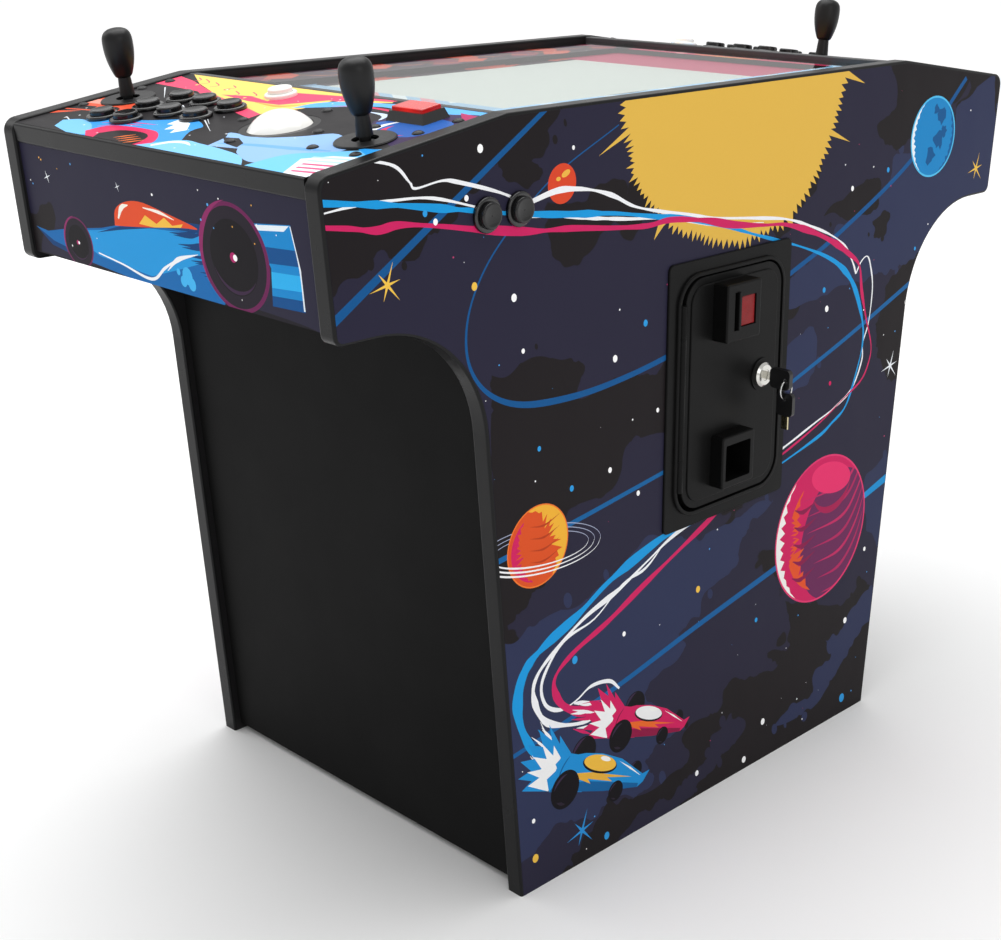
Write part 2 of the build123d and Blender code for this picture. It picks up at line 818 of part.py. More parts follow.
def track_housing():
    """Cup and flange that hold the ball under the deck."""
    low = ball_h - ball_diameter / 2 - ball_gap - track_floor
    half = track_box / 2
    flange_half = track_flange / 2
    shell = block(-half, half, -half, half, low, -board)
    shell += block(-flange_half, flange_half, -flange_half, flange_half, -board - flange_thick, -board)
    shell -= ball_room()
    room = roller_diameter + 2 * roller_room
    long = roller_length + 2 * roller_end_room
    out, height = ball_side(roller_diameter, roller_gap)
    shell -= Pos(0, -out, height) * Box(long, room, room)
    shell -= pin_x(spindle_diameter / 2 + pin_gap, -track_box, track_box, -out, height)
    shell -= Pos(-out, 0, height) * Box(room, roller_length, room)
    out, height = ball_side(idler_diameter, idler_gap)
    idler_room = Cylinder(idler_diameter / 2 + roller_room, idler_thick)
    shell -= Pos(out * cos(pi / 4), out * sin(pi / 4), height) * idler_room
    for x, y in track_bolt_places(0, 0):
        shell -= Pos(x, y, 0) * hole(bolt_hole)
    return shell


# ---------------------------------------------------------------- fasteners
def dome_bolt(reach):
    """Round-headed bolt through the deck."""
    r = bolt_head_radius
    h = bolt_head_rise
    crown = Spline((0, h), (0.7 * r, 0.68 * h), (r, 0), tangents=[(1, 0), (0.4, -1)])
    closing = Polyline((r, 0), (0, 0), (0, h))
    head = revolve(Plane.XZ * make_face([crown, closing]), axis=Axis.Z)
    return head + disc(bolt_shank_radius, -reach, 0)


def hex_nut(top):
    outline = RegularPolygon(hex_radius, 6) - Circle(bolt_shank_radius)
    return Pos(0, 0, top - hex_thick) * extrude(outline, amount=hex_thick)


def bolted(places, under_thick, place):
    """Bolts with nuts, clamping something under_thick below the board."""
    under = board + under_thick
    pieces = []
    for x, down in places:
        pieces.append(place(dome_bolt(under + bolt_past_nut), x, down))
        pieces.append(place(hex_nut(-under), x, down))
    return pieces


# ---------------------------------------------------------------- coin door
def frame_limits():
    w, h, t = frame_size
    return (door_y - w / 2, door_y + w / 2, door_z - h / 2, door_z + h / 2)


def opening_limits():
    y0, y1, z0, z1 = frame_limits()
    return (y0 + border_hinge, y1 - border_free, z0 + border_top, z1 - border_top)


def hinge_y():
    return opening_limits()[0] + hinge_inset


def knuckle(low, high, bore):
    """Hinge knuckle between two heights, bored for the pin."""
    x = face_x + hinge_proud
    return pin_z(knuckle_radius, x, hinge_y(), low, high) - pin_z(bore, x, hinge_y(), low, high)


def front_face(shape):
    """Face turned furthest towards +X."""
    return shape.faces().sort_by(Axis.X)[-1]


def coin_frame():
    """Frame plate with a bead round its opening, a flange into the cabinet and two hinge knuckles."""
    opening = opening_limits()
    plate_x = face_x + frame_size[2]
    flange_radius = opening_radius + flange_wall
    frame = side_plate(frame_limits(), face_x, plate_x, frame_radius)
    frame = chamfer(front_face(frame).edges(), frame_chamfer)
    bead = side_plate(grown(opening, bead_width), face_x, plate_x + bead_height, opening_radius + bead_width)
    frame += fillet(front_face(bead).edges(), bead_round)
    frame += side_plate(grown(opening, flange_wall), face_x - flange_depth, plate_x, flange_radius)
    frame -= side_plate(opening, face_x - board, face_x + board, opening_radius)
    hinge_x = face_x + hinge_proud
    for low, high in knuckle_ranges():
        leaf = block(face_x, hinge_x, opening[0] - leaf_overlap, hinge_y(), low, high)
        frame += leaf - pin_z(hinge_pin_radius, hinge_x, hinge_y(), low, high)
        frame += knuckle(low, high, hinge_pin_radius)
    return frame


def knuckle_ranges():
    low = door_z - hinge_half_length
    high = door_z + hinge_half_length
    inner = door_knuckle_half + knuckle_gap
    return [(low, door_z - inner), (door_z + inner, high)]


def hinge_pin():
    low = door_z - hinge_half_length
    high = door_z + hinge_half_length
    return pin_z(hinge_pin_radius, face_x + hinge_proud, hinge_y(), low, high)


def door_limits():
    y0, y1, z0, z1 = opening_limits()
    return (hinge_y() + knuckle_radius + door_hinge_gap, y1 - door_gap, z0 + door_gap, z1 - door_gap)


def door_face():
    """X of the raised panel's front."""
    return face_x + door_back + door_plate + door_raise


def coin_door():
    back = face_x + door_back
    front = back + door_plate
    radius = opening_radius - door_gap
    door = side_plate(door_limits(), back - door_rim_depth, front, radius)
    door = fillet(front_face(door).edges(), door_round)
    inside = grown(door_limits(), -door_rim_wall)
    door -= side_plate(inside, back - 2 * door_rim_depth, back, radius - door_rim_wall)
    raised = side_plate(grown(door_limits(), -door_raise_inset), back, door_face(), radius - door_raise_inset)
    door += fillet(front_face(raised).edges(), raise_round)
    door += pin_x(lock_boss / 2, back, door_face() + boss_height, lock_y, lock_z)
    low = door_z - door_knuckle_half
    high = door_z + door_knuckle_half
    bore = hinge_pin_radius + pin_gap
    leaf = block(back, front, hinge_y(), door_limits()[0] + door_leaf_overlap, low, high)
    door += leaf - pin_z(bore, face_x + hinge_proud, hinge_y(), low, high)
    door += knuckle(low, high, bore)
    for box in (entry_box, cup_box):
        door -= side_plate(grown(box, mould_gap - spigot_inset), back - board, front + board)
    return door - pin_x(lock_barrel / 2, back - board, front + board, lock_y, lock_z)


def moulding(box, proud, radius, depth):
    """Raised moulding on the door with a spigot through it."""
    shape = side_plate(box, door_face(), door_face() + proud, radius)
    shape = fillet(front_face(shape).edges(), mould_round)
    return shape + side_plate(grown(box, -spigot_inset), face_x + door_back - depth, door_face())


def reject_limits(gap):
    w, h = reject_size
    return grown((reject_y - w / 2, reject_y + w / 2, reject_z - h / 2, reject_z + h / 2), gap)


def slot_limits():
    w, h = slot_size
    return (slot_y - w / 2, slot_y + w / 2, slot_z - h / 2, slot_z + h / 2)


def coin_entry():
    shape = moulding(entry_box, entry_proud, entry_radius, spigot_depth)
    shape -= side_plate(slot_limits(), face_x - 2 * board, face_x + 3 * board)
    face = door_face() + entry_proud
    y0, y1, z0, z1 = slot_limits()
    wide, proud = slot_lip
    lip = block(face - proud, face + proud, y1, y1 + wide, z0, z1)
    shape += fillet(lip.edges().filter_by(Axis.Z).group_by(Axis.X)[-1], wide / 4)
    deep = reject_depth + reject_travel + reject_spare
    return shape - side_plate(reject_limits(mould_gap), face - deep, face + board)


def reject_button():
    face = door_face() + entry_proud
    shape = side_plate(reject_limits(0), face - reject_depth, face - reject_sink)
    return fillet(front_face(shape).edges(), reject_round)


def flap_x():
    return face_x + door_back - cup_depth + flap_inset


def flap_pin_z():
    return cup_opening[3] - flap_pin_drop


def return_cup():
    shape = moulding(cup_box, cup_proud, cup_radius, cup_depth)
    shape -= side_plate(cup_opening, face_x - 2 * board, face_x + 3 * board, cup_opening_radius)
    reach = flap_pin_end + flap_gap / 2
    bore = flap_pin_radius + pin_gap
    return shape - pin_y(bore, cup_opening[0] - reach, cup_opening[1] + reach, flap_x(), flap_pin_z())


def return_flap():
    y0, y1, z0, z1 = cup_opening
    half = flap_thick / 2
    face = (y0 + flap_gap, y1 - flap_gap, z0 + flap_gap, flap_pin_z())
    plate = side_plate(face, flap_x() - half, flap_x() + half)
    return plate + pin_y(flap_pin_radius, y0 - flap_pin_end, y1 + flap_pin_end, flap_x(), flap_pin_z())


def coin_mech():
    """Coin acceptor fixed behind the coin entry, cut away behind the slot."""
    front = face_x + door_back - spigot_depth
    y0, y1, z0, z1 = mech_box
    body = block(front - mech_depth, front, y0, y1, z0, z1)
    slot = slot_limits()
    return body - block(front - mech_depth / 2, front, slot[0], slot[1], z0, slot[3])


def lock_barrel_piece():
    """Barrel through the door with its collar in front and its nut behind."""
    back = face_x + door_back - lock_depth
    seat = door_face() + boss_height
    body = pin_x(lock_barrel / 2, back, seat, lock_y, lock_z)
    collar = pin_x(collar_diameter / 2, seat, seat + collar_height, lock_y, lock_z)
    collar = chamfer(collar.edges().group_by(Axis.X)[-1], collar_chamfer)
    nut = pin_x(collar_diameter / 2, face_x + door_back - lock_nut, face_x + door_back, lock_y, lock_z)
    return body + collar + nut - pin_x(plug_radius + plug_gap, back, seat + board, lock_y, lock_z)


def plug_front():
    return door_face() + boss_height + collar_height - plug_sink


def lock_plug():
    """Plug with its cam and the key that stays in it; the cam hangs down when the door is free."""
    thick, wide, long = cam_size
    cam_front = face_x + door_back - lock_depth - cam_gap
    cam_back = cam_front - thick
    front = plug_front()
    plug = pin_x(plug_radius, cam_back, front, lock_y, lock_z)
    cam = block(cam_back, cam_front, lock_y - wide / 2, lock_y + wide / 2, lock_z - long, lock_z)
    cam += pin_x(wide / 2, cam_back, cam_front, lock_y, lock_z)
    out, thin, tall = key_blade
    blade_face = (lock_y - thin / 2, lock_y + thin / 2, lock_z - tall / 2, lock_z + tall / 2)
    blade = side_plate(blade_face, front, front + out)
    return [plug + cam, blade, key_bow_piece()]


def bow_hole_place():
    """X and Z of the hole in the key's bow."""
    in_by, up_by = bow_hole_inset
    return (plug_front() + key_blade[0] + key_bow[0] - in_by, lock_z - key_bow[2] / 2 + up_by)


def key_bow_piece():
    long, thick, tall = key_bow
    back = plug_front() + key_blade[0]
    half = thick / 2
    bow = block(back, back + long, lock_y - half, lock_y + half, lock_z - tall / 2, lock_z + tall / 2)
    bow = fillet(bow.edges().filter_by(Axis.Y), bow_round)
    x, z = bow_hole_place()
    return bow - pin_y(bow_hole, lock_y - thick, lock_y + thick, x, z)


def spare_keys():
    """Wire ring through the bow and the spare key that hangs on it."""
    x, z = bow_hole_place()
    middle = z - key_ring_radius
    ring = Pos(x, lock_y, middle) * Rot(0, 90, 0) * Torus(key_ring_radius, wire_radius)
    wide, thick, tall = spare_bow
    top = middle - key_ring_radius + spare_overlap
    bow = block(x - wide / 2, x + wide / 2, lock_y - thick / 2, lock_y + thick / 2, top - tall, top)
    bow = fillet(bow.edges().filter_by(Axis.Y), bow_round)
    hole_z = middle - key_ring_radius + wire_radius - spare_hole + wire_slack
    bow -= pin_y(spare_hole, lock_y - thick, lock_y + thick, x, hole_z)
    broad, thin, long = spare_blade
    low = top - tall - long
    blade = block(x - broad / 2, x + broad / 2, lock_y - thin / 2, lock_y + thin / 2, low, low + long)
    return [ring, bow, blade]


# ---------------------------------------------------------------- inside and back
def computer():
    x, y, z = computer_size
    deep, wide, tall = case_slot
    case = block(-x / 2, x / 2, -y / 2, y / 2, leg_board, leg_board + z)
    case = fillet(case.edges().filter_by(Axis.Z), case_round)
    first = -case_slot_pitch * (case_slots - 1) / 2
    for i in range(case_slots):
        middle = first + i * case_slot_pitch
        case -= Pos(x / 2, middle, leg_board + z / 2) * Box(2 * deep, wide, tall)
    return case


def speaker():
    """Loudspeaker on the front deck's floor and its grille below."""
    low = floor_z + thin_board
    cone_low = low + speaker_flange_thick
    magnet_low = low + speaker_height - magnet_thick
    cone = disc(speaker_flange, low, cone_low)
    cone += Pos(0, 0, cone_low) * Cone(
        speaker_radius, magnet_radius, magnet_low - cone_low, align=(Align.CENTER, Align.CENTER, Align.MIN)
    )
    cone += disc(magnet_radius, magnet_low, low + speaker_height)
    grille = disc(speaker_flange, floor_z - grille_thick, floor_z)
    for radius, count in grille_rings:
        for i in range(count):
            turn = 2 * pi * i / count
            place = Pos(radius * cos(turn), radius * sin(turn), 0)
            grille -= place * disc(grille_hole, floor_z - grille_thick, floor_z)
    return [Pos(0, -speaker_y(), 0) * piece for piece in (cone, grille)]


def power_inlet():
    """Flanged inlet with a switch in the rear leg panel."""
    w, h = inlet_size
    wide = w - 2 * inlet_flange
    tall = h - 2 * inlet_flange
    body = block(-w / 2, w / 2, -h / 2, h / 2, 0, inlet_thick)
    body = chamfer(body.edges().group_by(Axis.Z)[-1], inlet_thick / 3)
    body += block(-wide / 2, wide / 2, -tall / 2, tall / 2, -inlet_depth, 0)
    socket_w, socket_h, socket_d = socket_size
    body -= Pos(socket_x, 0, inlet_thick - socket_d / 2) * Box(*socket_size)
    for i in (-1, 0, 1):
        prong = Pos(0, 0, inlet_thick - socket_d + prong_size[2] / 2) * Box(*prong_size)
        body += Pos(socket_x + i * prong_pitch, 0, 0) * prong
    body += Pos(rocker_x, 0, inlet_thick + rocker_size[2] / 2) * Box(*rocker_size)
    return turned(on_leg(body, 0, inlet_height))


# ---------------------------------------------------------------- layout and export
def cluster(stick_x):
    """Buttons beside a joystick."""
    return [(stick_x + dx, stick_down + dd) for dx, dd in button_offsets]


def on_both_decks(piece, front_places, rear_places):
    """Copies of one piece at places on both decks."""
    front = [on_deck(piece, x, down) for x, down in front_places]
    return front + [on_rear(piece, x, down) for x, down in rear_places]


def on_both_sides(piece):
    """Copies of one piece at the side buttons' places."""
    return [on_side(piece, side, y, side_button_z) for side in (-1, 1) for y in side_button_ys]


def main():
    os.makedirs("parts", exist_ok=True)
    front_sticks = [(first_stick_x, stick_down), (second_stick_x, second_stick_down)]
    rear_sticks = [(rear_stick_x, stick_down)]
    front_buttons = cluster(first_stick_x)
    rear_buttons = cluster(rear_stick_x)
    start_x, start_down = start_offset
    front_start = (first_stick_x + start_x, stick_down + start_down)
    rear_start = (rear_stick_x + start_x, stick_down + start_down)
    lit = (lit_button_x, lit_button_down)
    track = (trackball_x, trackball_down)
    front_round = front_buttons + [front_start]
    rear_round = rear_buttons + [rear_start]

    save("side_panel_left", side_panel(-1))
    save("side_panel_right", side_panel(1))
    save("edge_trim", side_trim(-1), side_trim(1), lip_trim(), turned(lip_trim()))
    save("front_control_panel", control_panel(front_sticks, front_round, [lit], [track]))
    save("rear_control_panel", turned(control_panel(rear_sticks, rear_round, [], [])))
    save("aprons", apron(), turned(apron()))
    save("inner_boards", deck_floor(), turned(deck_floor()), bottom_board())
    save("front_leg_panel", leg_panel(False))
    save("rear_leg_panel", leg_panel(True))
    save("screen_supports", *supports())
    save("glass", glass())
    save("monitor_bezel", monitor_bezel())
    save("monitor", *monitor())
    save("computer", computer())
    save("power_inlet", power_inlet())
    save("speakers", *speaker(), *[turned(piece) for piece in speaker()])

    bodies = on_both_decks(button_body(), front_round, rear_round)
    nuts = on_both_decks(ring_nut(barrel_diameter), front_round, rear_round)
    switches = on_both_decks(switch_body(), front_round + [lit], rear_round)
    save("button_bodies", *bodies, *on_both_sides(button_body()), on_deck(lit_body(), *lit))
    save("button_switches", *switches, *on_both_sides(switch_body()))

    nuts += on_both_sides(ring_nut(barrel_diameter))
    nuts.append(on_deck(ring_nut(lit_barrel_diameter), *lit))
    bolts = bolted(track_bolt_places(*track), flange_thick, on_deck)
    for places, place in ((front_sticks, on_deck), (rear_sticks, on_rear)):
        for x, down in places:
            bolts += bolted(stick_bolt_places(x, down), plate_thick, place)
    hold_down = dome_bolt(board + cleat - bolt_short)
    bolts += on_both_decks(hold_down, cleat_bolt_places(), cleat_bolt_places())
    save("panel_fasteners", *nuts, *bolts)

    save("joystick_bases", *on_both_decks(joystick_base(), front_sticks, rear_sticks))
    save("joystick_dust_washers", *on_both_decks(dust_washer(), front_sticks, rear_sticks))
    pivots = on_both_decks(pivot_ring(), front_sticks, rear_sticks)
    sticks = on_both_decks(stick(), front_sticks, rear_sticks)
    for i in range(len(sticks)):
        save(f"joystick_{i + 1}_pivot", pivots[i])
        save(f"joystick_{i + 1}_stick", sticks[i])

    for name, places, place in (("front", front_buttons, on_deck), ("rear", rear_buttons, on_rear)):
        for i, (x, down) in enumerate(places, 1):
            save(f"{name}_button_{i}", place(plunger(), x, down))
    save("front_start_button", on_deck(plunger(), *front_start))
    save("rear_start_button", on_rear(plunger(), *rear_start))
    save("lit_button", on_deck(lit_cap_piece(), *lit))
    for name, side in (("left", -1), ("right", 1)):
        for i, y in enumerate(side_button_ys, 1):
            save(f"side_button_{name}_{i}", on_side(plunger(), side, y, side_button_z))

    save("trackball", on_deck(track_ball(), *track))
    save("trackball_roller", on_deck(track_roller(), *track))
    housing = [track_housing(), track_ring()] + cross_roller()
    save("trackball_housing", *[on_deck(piece, *track) for piece in housing])

    save("coin_door_frame", coin_frame(), hinge_pin())
    save("coin_door", coin_door())
    save("coin_fittings", coin_entry(), return_cup(), coin_mech(), lock_barrel_piece())
    save("coin_reject_button", reject_button())
    save("coin_return_flap", return_flap())
    save("lock_plug", *lock_plug())
    save("spare_keys", *spare_keys())


main()
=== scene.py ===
"""Two-ended arcade cabinet: printed sheets, finishes and studio around the CAD frame.

Metres, in the cabinet's own frame: +Z up, X across, Y along, the front player at -Y and the coin
door in the +X side. Artwork is drawn in millimetres on each panel's own face.
"""

import logging
import math
import random
from dataclasses import dataclass, field
from enum import Enum

import bpy
import numpy as np
from mathutils import Matrix, Vector
from mathutils.geometry import delaunay_2d_cdt


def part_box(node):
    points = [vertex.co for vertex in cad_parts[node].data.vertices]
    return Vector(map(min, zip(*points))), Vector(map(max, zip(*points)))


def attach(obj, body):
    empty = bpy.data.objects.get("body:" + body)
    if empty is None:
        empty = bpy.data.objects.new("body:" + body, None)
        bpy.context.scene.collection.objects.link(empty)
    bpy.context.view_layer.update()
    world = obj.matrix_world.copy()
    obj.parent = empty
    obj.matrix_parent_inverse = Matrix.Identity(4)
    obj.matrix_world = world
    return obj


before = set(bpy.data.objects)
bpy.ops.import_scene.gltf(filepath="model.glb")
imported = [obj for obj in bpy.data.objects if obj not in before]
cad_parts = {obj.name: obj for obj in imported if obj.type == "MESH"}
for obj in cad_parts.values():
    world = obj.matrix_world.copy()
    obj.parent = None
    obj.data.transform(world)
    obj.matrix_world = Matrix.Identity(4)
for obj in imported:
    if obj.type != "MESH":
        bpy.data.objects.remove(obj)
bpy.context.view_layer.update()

MM = 0.001
CABINET = "cabinet"
log = logging.getLogger("cabinet")


# ------------------------------------------------------------------ node toolkit
class Signal:
    """A number in a node tree, with arithmetic that adds Math nodes."""

    def __init__(self, shader: "Nodes", socket: bpy.types.NodeSocket) -> None:
        """Wrap one output socket."""
        self.shader = shader
        self.socket = socket

    def math(self, operation: str, *others: "Signal | float", clamp: bool = False) -> "Signal":
        """Add a Math node.

        Args:
            operation: The Math node's operation.
            others: The values after this one.
            clamp: Whether the result stays between 0 and 1.

        Returns:
            The node's result.
        """
        return self.shader.maths(operation, self, *others, clamp=clamp)

    def __add__(self, other: "Signal | float") -> "Signal":
        """Sum."""
        return self.math("ADD", other)

    __radd__ = __add__

    def __sub__(self, other: "Signal | float") -> "Signal":
        """Difference."""
        return self.math("SUBTRACT", other)

    def __rsub__(self, other: float) -> "Signal":
        """Difference from a plain number."""
        return self.shader.maths("SUBTRACT", other, self)

    def __mul__(self, other: "Signal | float") -> "Signal":
        """Product."""
        return self.math("MULTIPLY", other)

    __rmul__ = __mul__

    def __lt__(self, other: "Signal | float") -> "Signal":
        """1 where this is the smaller one."""
        return self.math("LESS_THAN", other)

    def __gt__(self, other: "Signal | float") -> "Signal":
        """1 where this is the greater one."""
        return self.math("GREATER_THAN", other)

    def __abs__(self) -> "Signal":
        """Size without sign."""
        return self.math("ABSOLUTE")

    def striped(self, count: float) -> "Signal":
        """1 and 0 by turns, count of each to the unit."""
        return self.shader.maths("FRACT", self * count) < 0.5

    def ramp(self, low: float, high: float) -> "Signal":
        """0 below low, 1 above high, straight between."""
        return self.shader.maths("MULTIPLY", self - low, 1 / (high - low), clamp=True)


Colour = tuple[float, float, float, float]
Triple = tuple[float, float, float]


def ink(code: str, alpha: float = 1.0) -> Colour:
    """Linear colour of a six-digit web code."""
    parts = [int(code[i : i + 2], 16) / 255 for i in (0, 2, 4)]
    linear = [p / 12.92 if p <= 0.04045 else ((p + 0.055) / 1.055) ** 2.4 for p in parts]
    return (*linear, alpha)


def plug(tree: bpy.types.NodeTree, value: object, place: bpy.types.NodeSocket) -> None:
    """Link or set one input."""
    if isinstance(value, Signal):
        value = value.socket
    if isinstance(value, bpy.types.NodeSocket):
        tree.links.new(value, place)
    else:
        place.default_value = value


class Nodes:
    """A node tree under construction."""

    def __init__(self, tree: bpy.types.NodeTree) -> None:
        """Start from an empty tree."""
        self.tree = tree
        self.tree.nodes.clear()

    def node(self, kind: str, settings: dict | None = None, values: dict | None = None) -> bpy.types.Node:
        """Add a node.

        Args:
            kind: The node's type.
            settings: Its own settings, set first.
            values: Numbers, colours, signals or sockets for its inputs, by name or place.

        Returns:
            The node.
        """
        made = self.tree.nodes.new(kind)
        for key, value in (settings or {}).items():
            setattr(made, key, value)
        for key, value in (values or {}).items():
            plug(self.tree, value, made.inputs[key])
        return made

    def maths(self, operation: str, *values: "Signal | float", clamp: bool = False) -> Signal:
        """Math node on signals or numbers."""
        settings = {"operation": operation, "use_clamp": clamp}
        return Signal(self, self.node("ShaderNodeMath", settings, dict(enumerate(values))).outputs[0])


class Shader(Nodes):
    """One material under construction."""

    def __init__(self, name: str) -> None:
        """Start an empty material."""
        self.material = bpy.data.materials.new(name)
        self.material.use_nodes = True
        super().__init__(self.material.node_tree)

    def position(self) -> bpy.types.NodeSocket:
        """Object coordinates, in metres."""
        return self.node("ShaderNodeTexCoord").outputs["Object"]

    def axes(self) -> tuple[Signal, Signal, Signal]:
        """The three object coordinates as numbers."""
        split = self.node("ShaderNodeSeparateXYZ", values={0: self.position()})
        return tuple(Signal(self, socket) for socket in split.outputs)

    def stretched(self, scale: Triple, turn: Triple = (0, 0, 0)) -> bpy.types.NodeSocket:
        """Object coordinates, turned and scaled."""
        values = {"Vector": self.position(), "Scale": scale, "Rotation": turn}
        return self.node("ShaderNodeMapping", values=values).outputs[0]

    def noise(self, scale: float, detail: float = 2.0, rough: float = 0.5, vector: bpy.types.NodeSocket | None =
        None) -> Signal:
        """Noise, about 0.5 in the mean."""
        values = {"Vector": vector or self.position(), "Scale": scale, "Detail": detail, "Roughness": rough}
        return Signal(self, self.node("ShaderNodeTexNoise", values=values).outputs[0])

    def cells(self, scale: float) -> Signal:
        """Distance to the nearest of scattered points."""
        values = {"Vector": self.position(), "Scale": scale}
        return Signal(self, self.node("ShaderNodeTexVoronoi", values=values).outputs["Distance"])

    def mixed(self, factor: Signal, low: object, high: object) -> bpy.types.NodeSocket:
        """Colour between low, where the factor is 0, and high, where it is 1."""
        made = self.node("ShaderNodeMix", {"data_type": "RGBA"})
        colours = [socket for socket in made.inputs if socket.type == "RGBA"]
        for socket, value in zip((made.inputs[0], *colours), (factor, low, high)):
            plug(self.tree, value, socket)
        return next(socket for socket in made.outputs if socket.type == "RGBA")

    def bump(self, height: Signal, distance: float, strength: float = 1.0) -> bpy.types.NodeSocket:
        """Surface relief of a given depth in metres."""
        values = {"Height": height, "Distance": distance, "Strength": strength}
        return self.node("ShaderNodeBump", values=values).outputs[0]

    def within(self, centre: Vector, radius: float) -> Signal:
        """1 inside a ball."""
        values = {0: self.position(), 1: centre}
        made = self.node("ShaderNodeVectorMath", {"operation": "DISTANCE"}, values)
        return Signal(self, made.outputs["Value"]) < radius

    def principled(self, values: dict) -> bpy.types.Material:
        """End in one Principled shader and return the material."""
        surface = self.node("ShaderNodeBsdfPrincipled", values=values)
        return self.output(surface.outputs[0])

    def output(self, surface: bpy.types.NodeSocket) -> bpy.types.Material:
        """End in any surface and return the material."""
        self.node("ShaderNodeOutputMaterial", values={"Surface": surface})
        return self.material


# ------------------------------------------------------------------ finishes
@dataclass(frozen=True)
class Moulded:
    """Moulded or painted part with a fine grain, handling marks and dust."""

    name: str
    colour: str
    roughness: float = 0.4
    grain: float = 1400.0
    depth: float = 0.00003
    marks: float = 0.08
    coat: float = 0.0
    metal: float = 0.0
    spread: float = 0.12
    shine: float = 0.25

    def material(self) -> bpy.types.Material:
        """Build the material."""
        shader = Shader(self.name)
        fine = shader.noise(self.grain, 3.0, 0.6)
        broad = shader.noise(9.0, 4.0, 0.55)
        smears = shader.noise(26.0, 5.0, 0.7, shader.stretched((1, 2.2, 0.6), (0.3, 0.2, 0.5)))
        base = ink(self.colour)
        lift = 0.05 * self.spread
        pale = tuple(min(1.0, part * (1 + self.spread) + lift) for part in base[:3]) + (1.0,)
        values = {
            "Base Color": shader.mixed(broad * 0.7 + fine * 0.3, base, pale),
            "Roughness": (smears - 0.5) * self.marks * 2 + (fine - 0.5) * 0.06 + self.roughness,
            "Metallic": self.metal,
            "Normal": shader.bump(fine + broad * 0.4, self.depth),
            "Coat Weight": self.coat,
            "Coat Roughness": 0.08,
            "Specular IOR Level": self.shine,
        }
        return shader.principled(values)


class Ground(Enum):
    """What lies behind a sheet's artwork."""

    CLOUDS = "clouds"
    PLAIN = "plain"


@dataclass(frozen=True)
class Print:
    """Printed laminate: face colours over a drawn ground, under a satin film."""

    name: str
    ground: Ground
    dark: str = "1f1b1d"
    middle: str = "29273a"
    roughness: float = 0.4
    shine: float = 0.06

    def material(self) -> bpy.types.Material:
        """Build the material."""
        shader = Shader(self.name)
        art = shader.node("ShaderNodeAttribute", {"attribute_name": "ink"})
        ground = self.clouds(shader) if self.ground is Ground.CLOUDS else ink(self.dark)
        inked = Signal(shader, art.outputs["Alpha"]) > 0.1
        printed = shader.mixed(inked, ground, art.outputs["Color"])
        fine = shader.noise(1700.0, 2.0, 0.5)
        peel = shader.noise(260.0, 2.0, 0.5)
        dots = shader.cells(2600.0)
        deeper = shader.node("ShaderNodeHueSaturation", values={"Color": printed, "Value": 0.9, "Fac": 1.0})
        smears = shader.noise(14.0, 5.0, 0.65, shader.stretched((1, 1.8, 0.7), (0.4, 0, 0)))
        values = {
            "Base Color": shader.mixed(dots * 0.7, printed, deeper.outputs[0]),
            "Roughness": (smears - 0.5) * 0.16 + fine * 0.06 + self.roughness,
            "Normal": shader.bump(peel + fine * 0.25, 0.00004),
            "Specular IOR Level": self.shine,
        }
        return shader.principled(values)

    def clouds(self, shader: Shader) -> bpy.types.NodeSocket:
        """Night tone with torn and blotted darker patches."""
        large = shader.noise(4.2, 4.0, 0.5, shader.stretched((1, 1, 1.4), (-0.6, 0, 0)))
        lobes = 0.5 - shader.cells(24.0)
        patches = (large + lobes * 0.1).ramp(0.585, 0.589)
        return shader.mixed(patches, ink(self.middle), ink(self.dark))


# ------------------------------------------------------------------ drawing
def smooth(points: list, per_span: int = 7) -> np.ndarray:
    """Rounded line through points.

    Args:
        points: The points, in order.
        per_span: Steps from one point to the next.

    Returns:
        The line's points.
    """
    given = np.array(points, float)
    ends = np.vstack([2 * given[0] - given[1], given, 2 * given[-1] - given[-2]])
    steps = np.linspace(0, 1, per_span, endpoint=False)[:, None]
    line = []
    for a, b, c, d in zip(ends[:-3], ends[1:-2], ends[2:-1], ends[3:]):
        bend = 2 * a - 5 * b + 4 * c - d
        twist = 3 * b - a - 3 * c + d
        line.append(0.5 * (2 * b + (c - a) * steps + bend * steps**2 + twist * steps**3))
    return np.vstack(line + [given[-1:]])


def ribbon(points: list, widths: list, ripple: float = 0.0, seed: int = 1, per_span: int = 7) -> np.ndarray:
    """Outline of a brush stroke.

    Args:
        points: Its middle line.
        widths: Widths along it, evenly spread.
        ripple: Share by which the width wanders.
        seed: Seed of the wandering.
        per_span: Steps from one point to the next.

    Returns:
        The outline.
    """
    line = smooth(points, per_span)
    along = np.gradient(line, axis=0)
    along /= np.linalg.norm(along, axis=1)[:, None] + 1e-9
    side = np.stack([-along[:, 1], along[:, 0]], 1)
    share = np.linspace(0, 1, len(line))
    width = np.interp(share, np.linspace(0, 1, len(widths)), widths)
    draw = random.Random(seed)
    knots = [draw.uniform(-1, 1) for _ in range(len(points) * 2)]
    width = width * (1 + ripple * np.interp(share, np.linspace(0, 1, len(knots)), knots))
    half = side * width[:, None] / 2
    return np.vstack([line + half, (line - half)[::-1]])


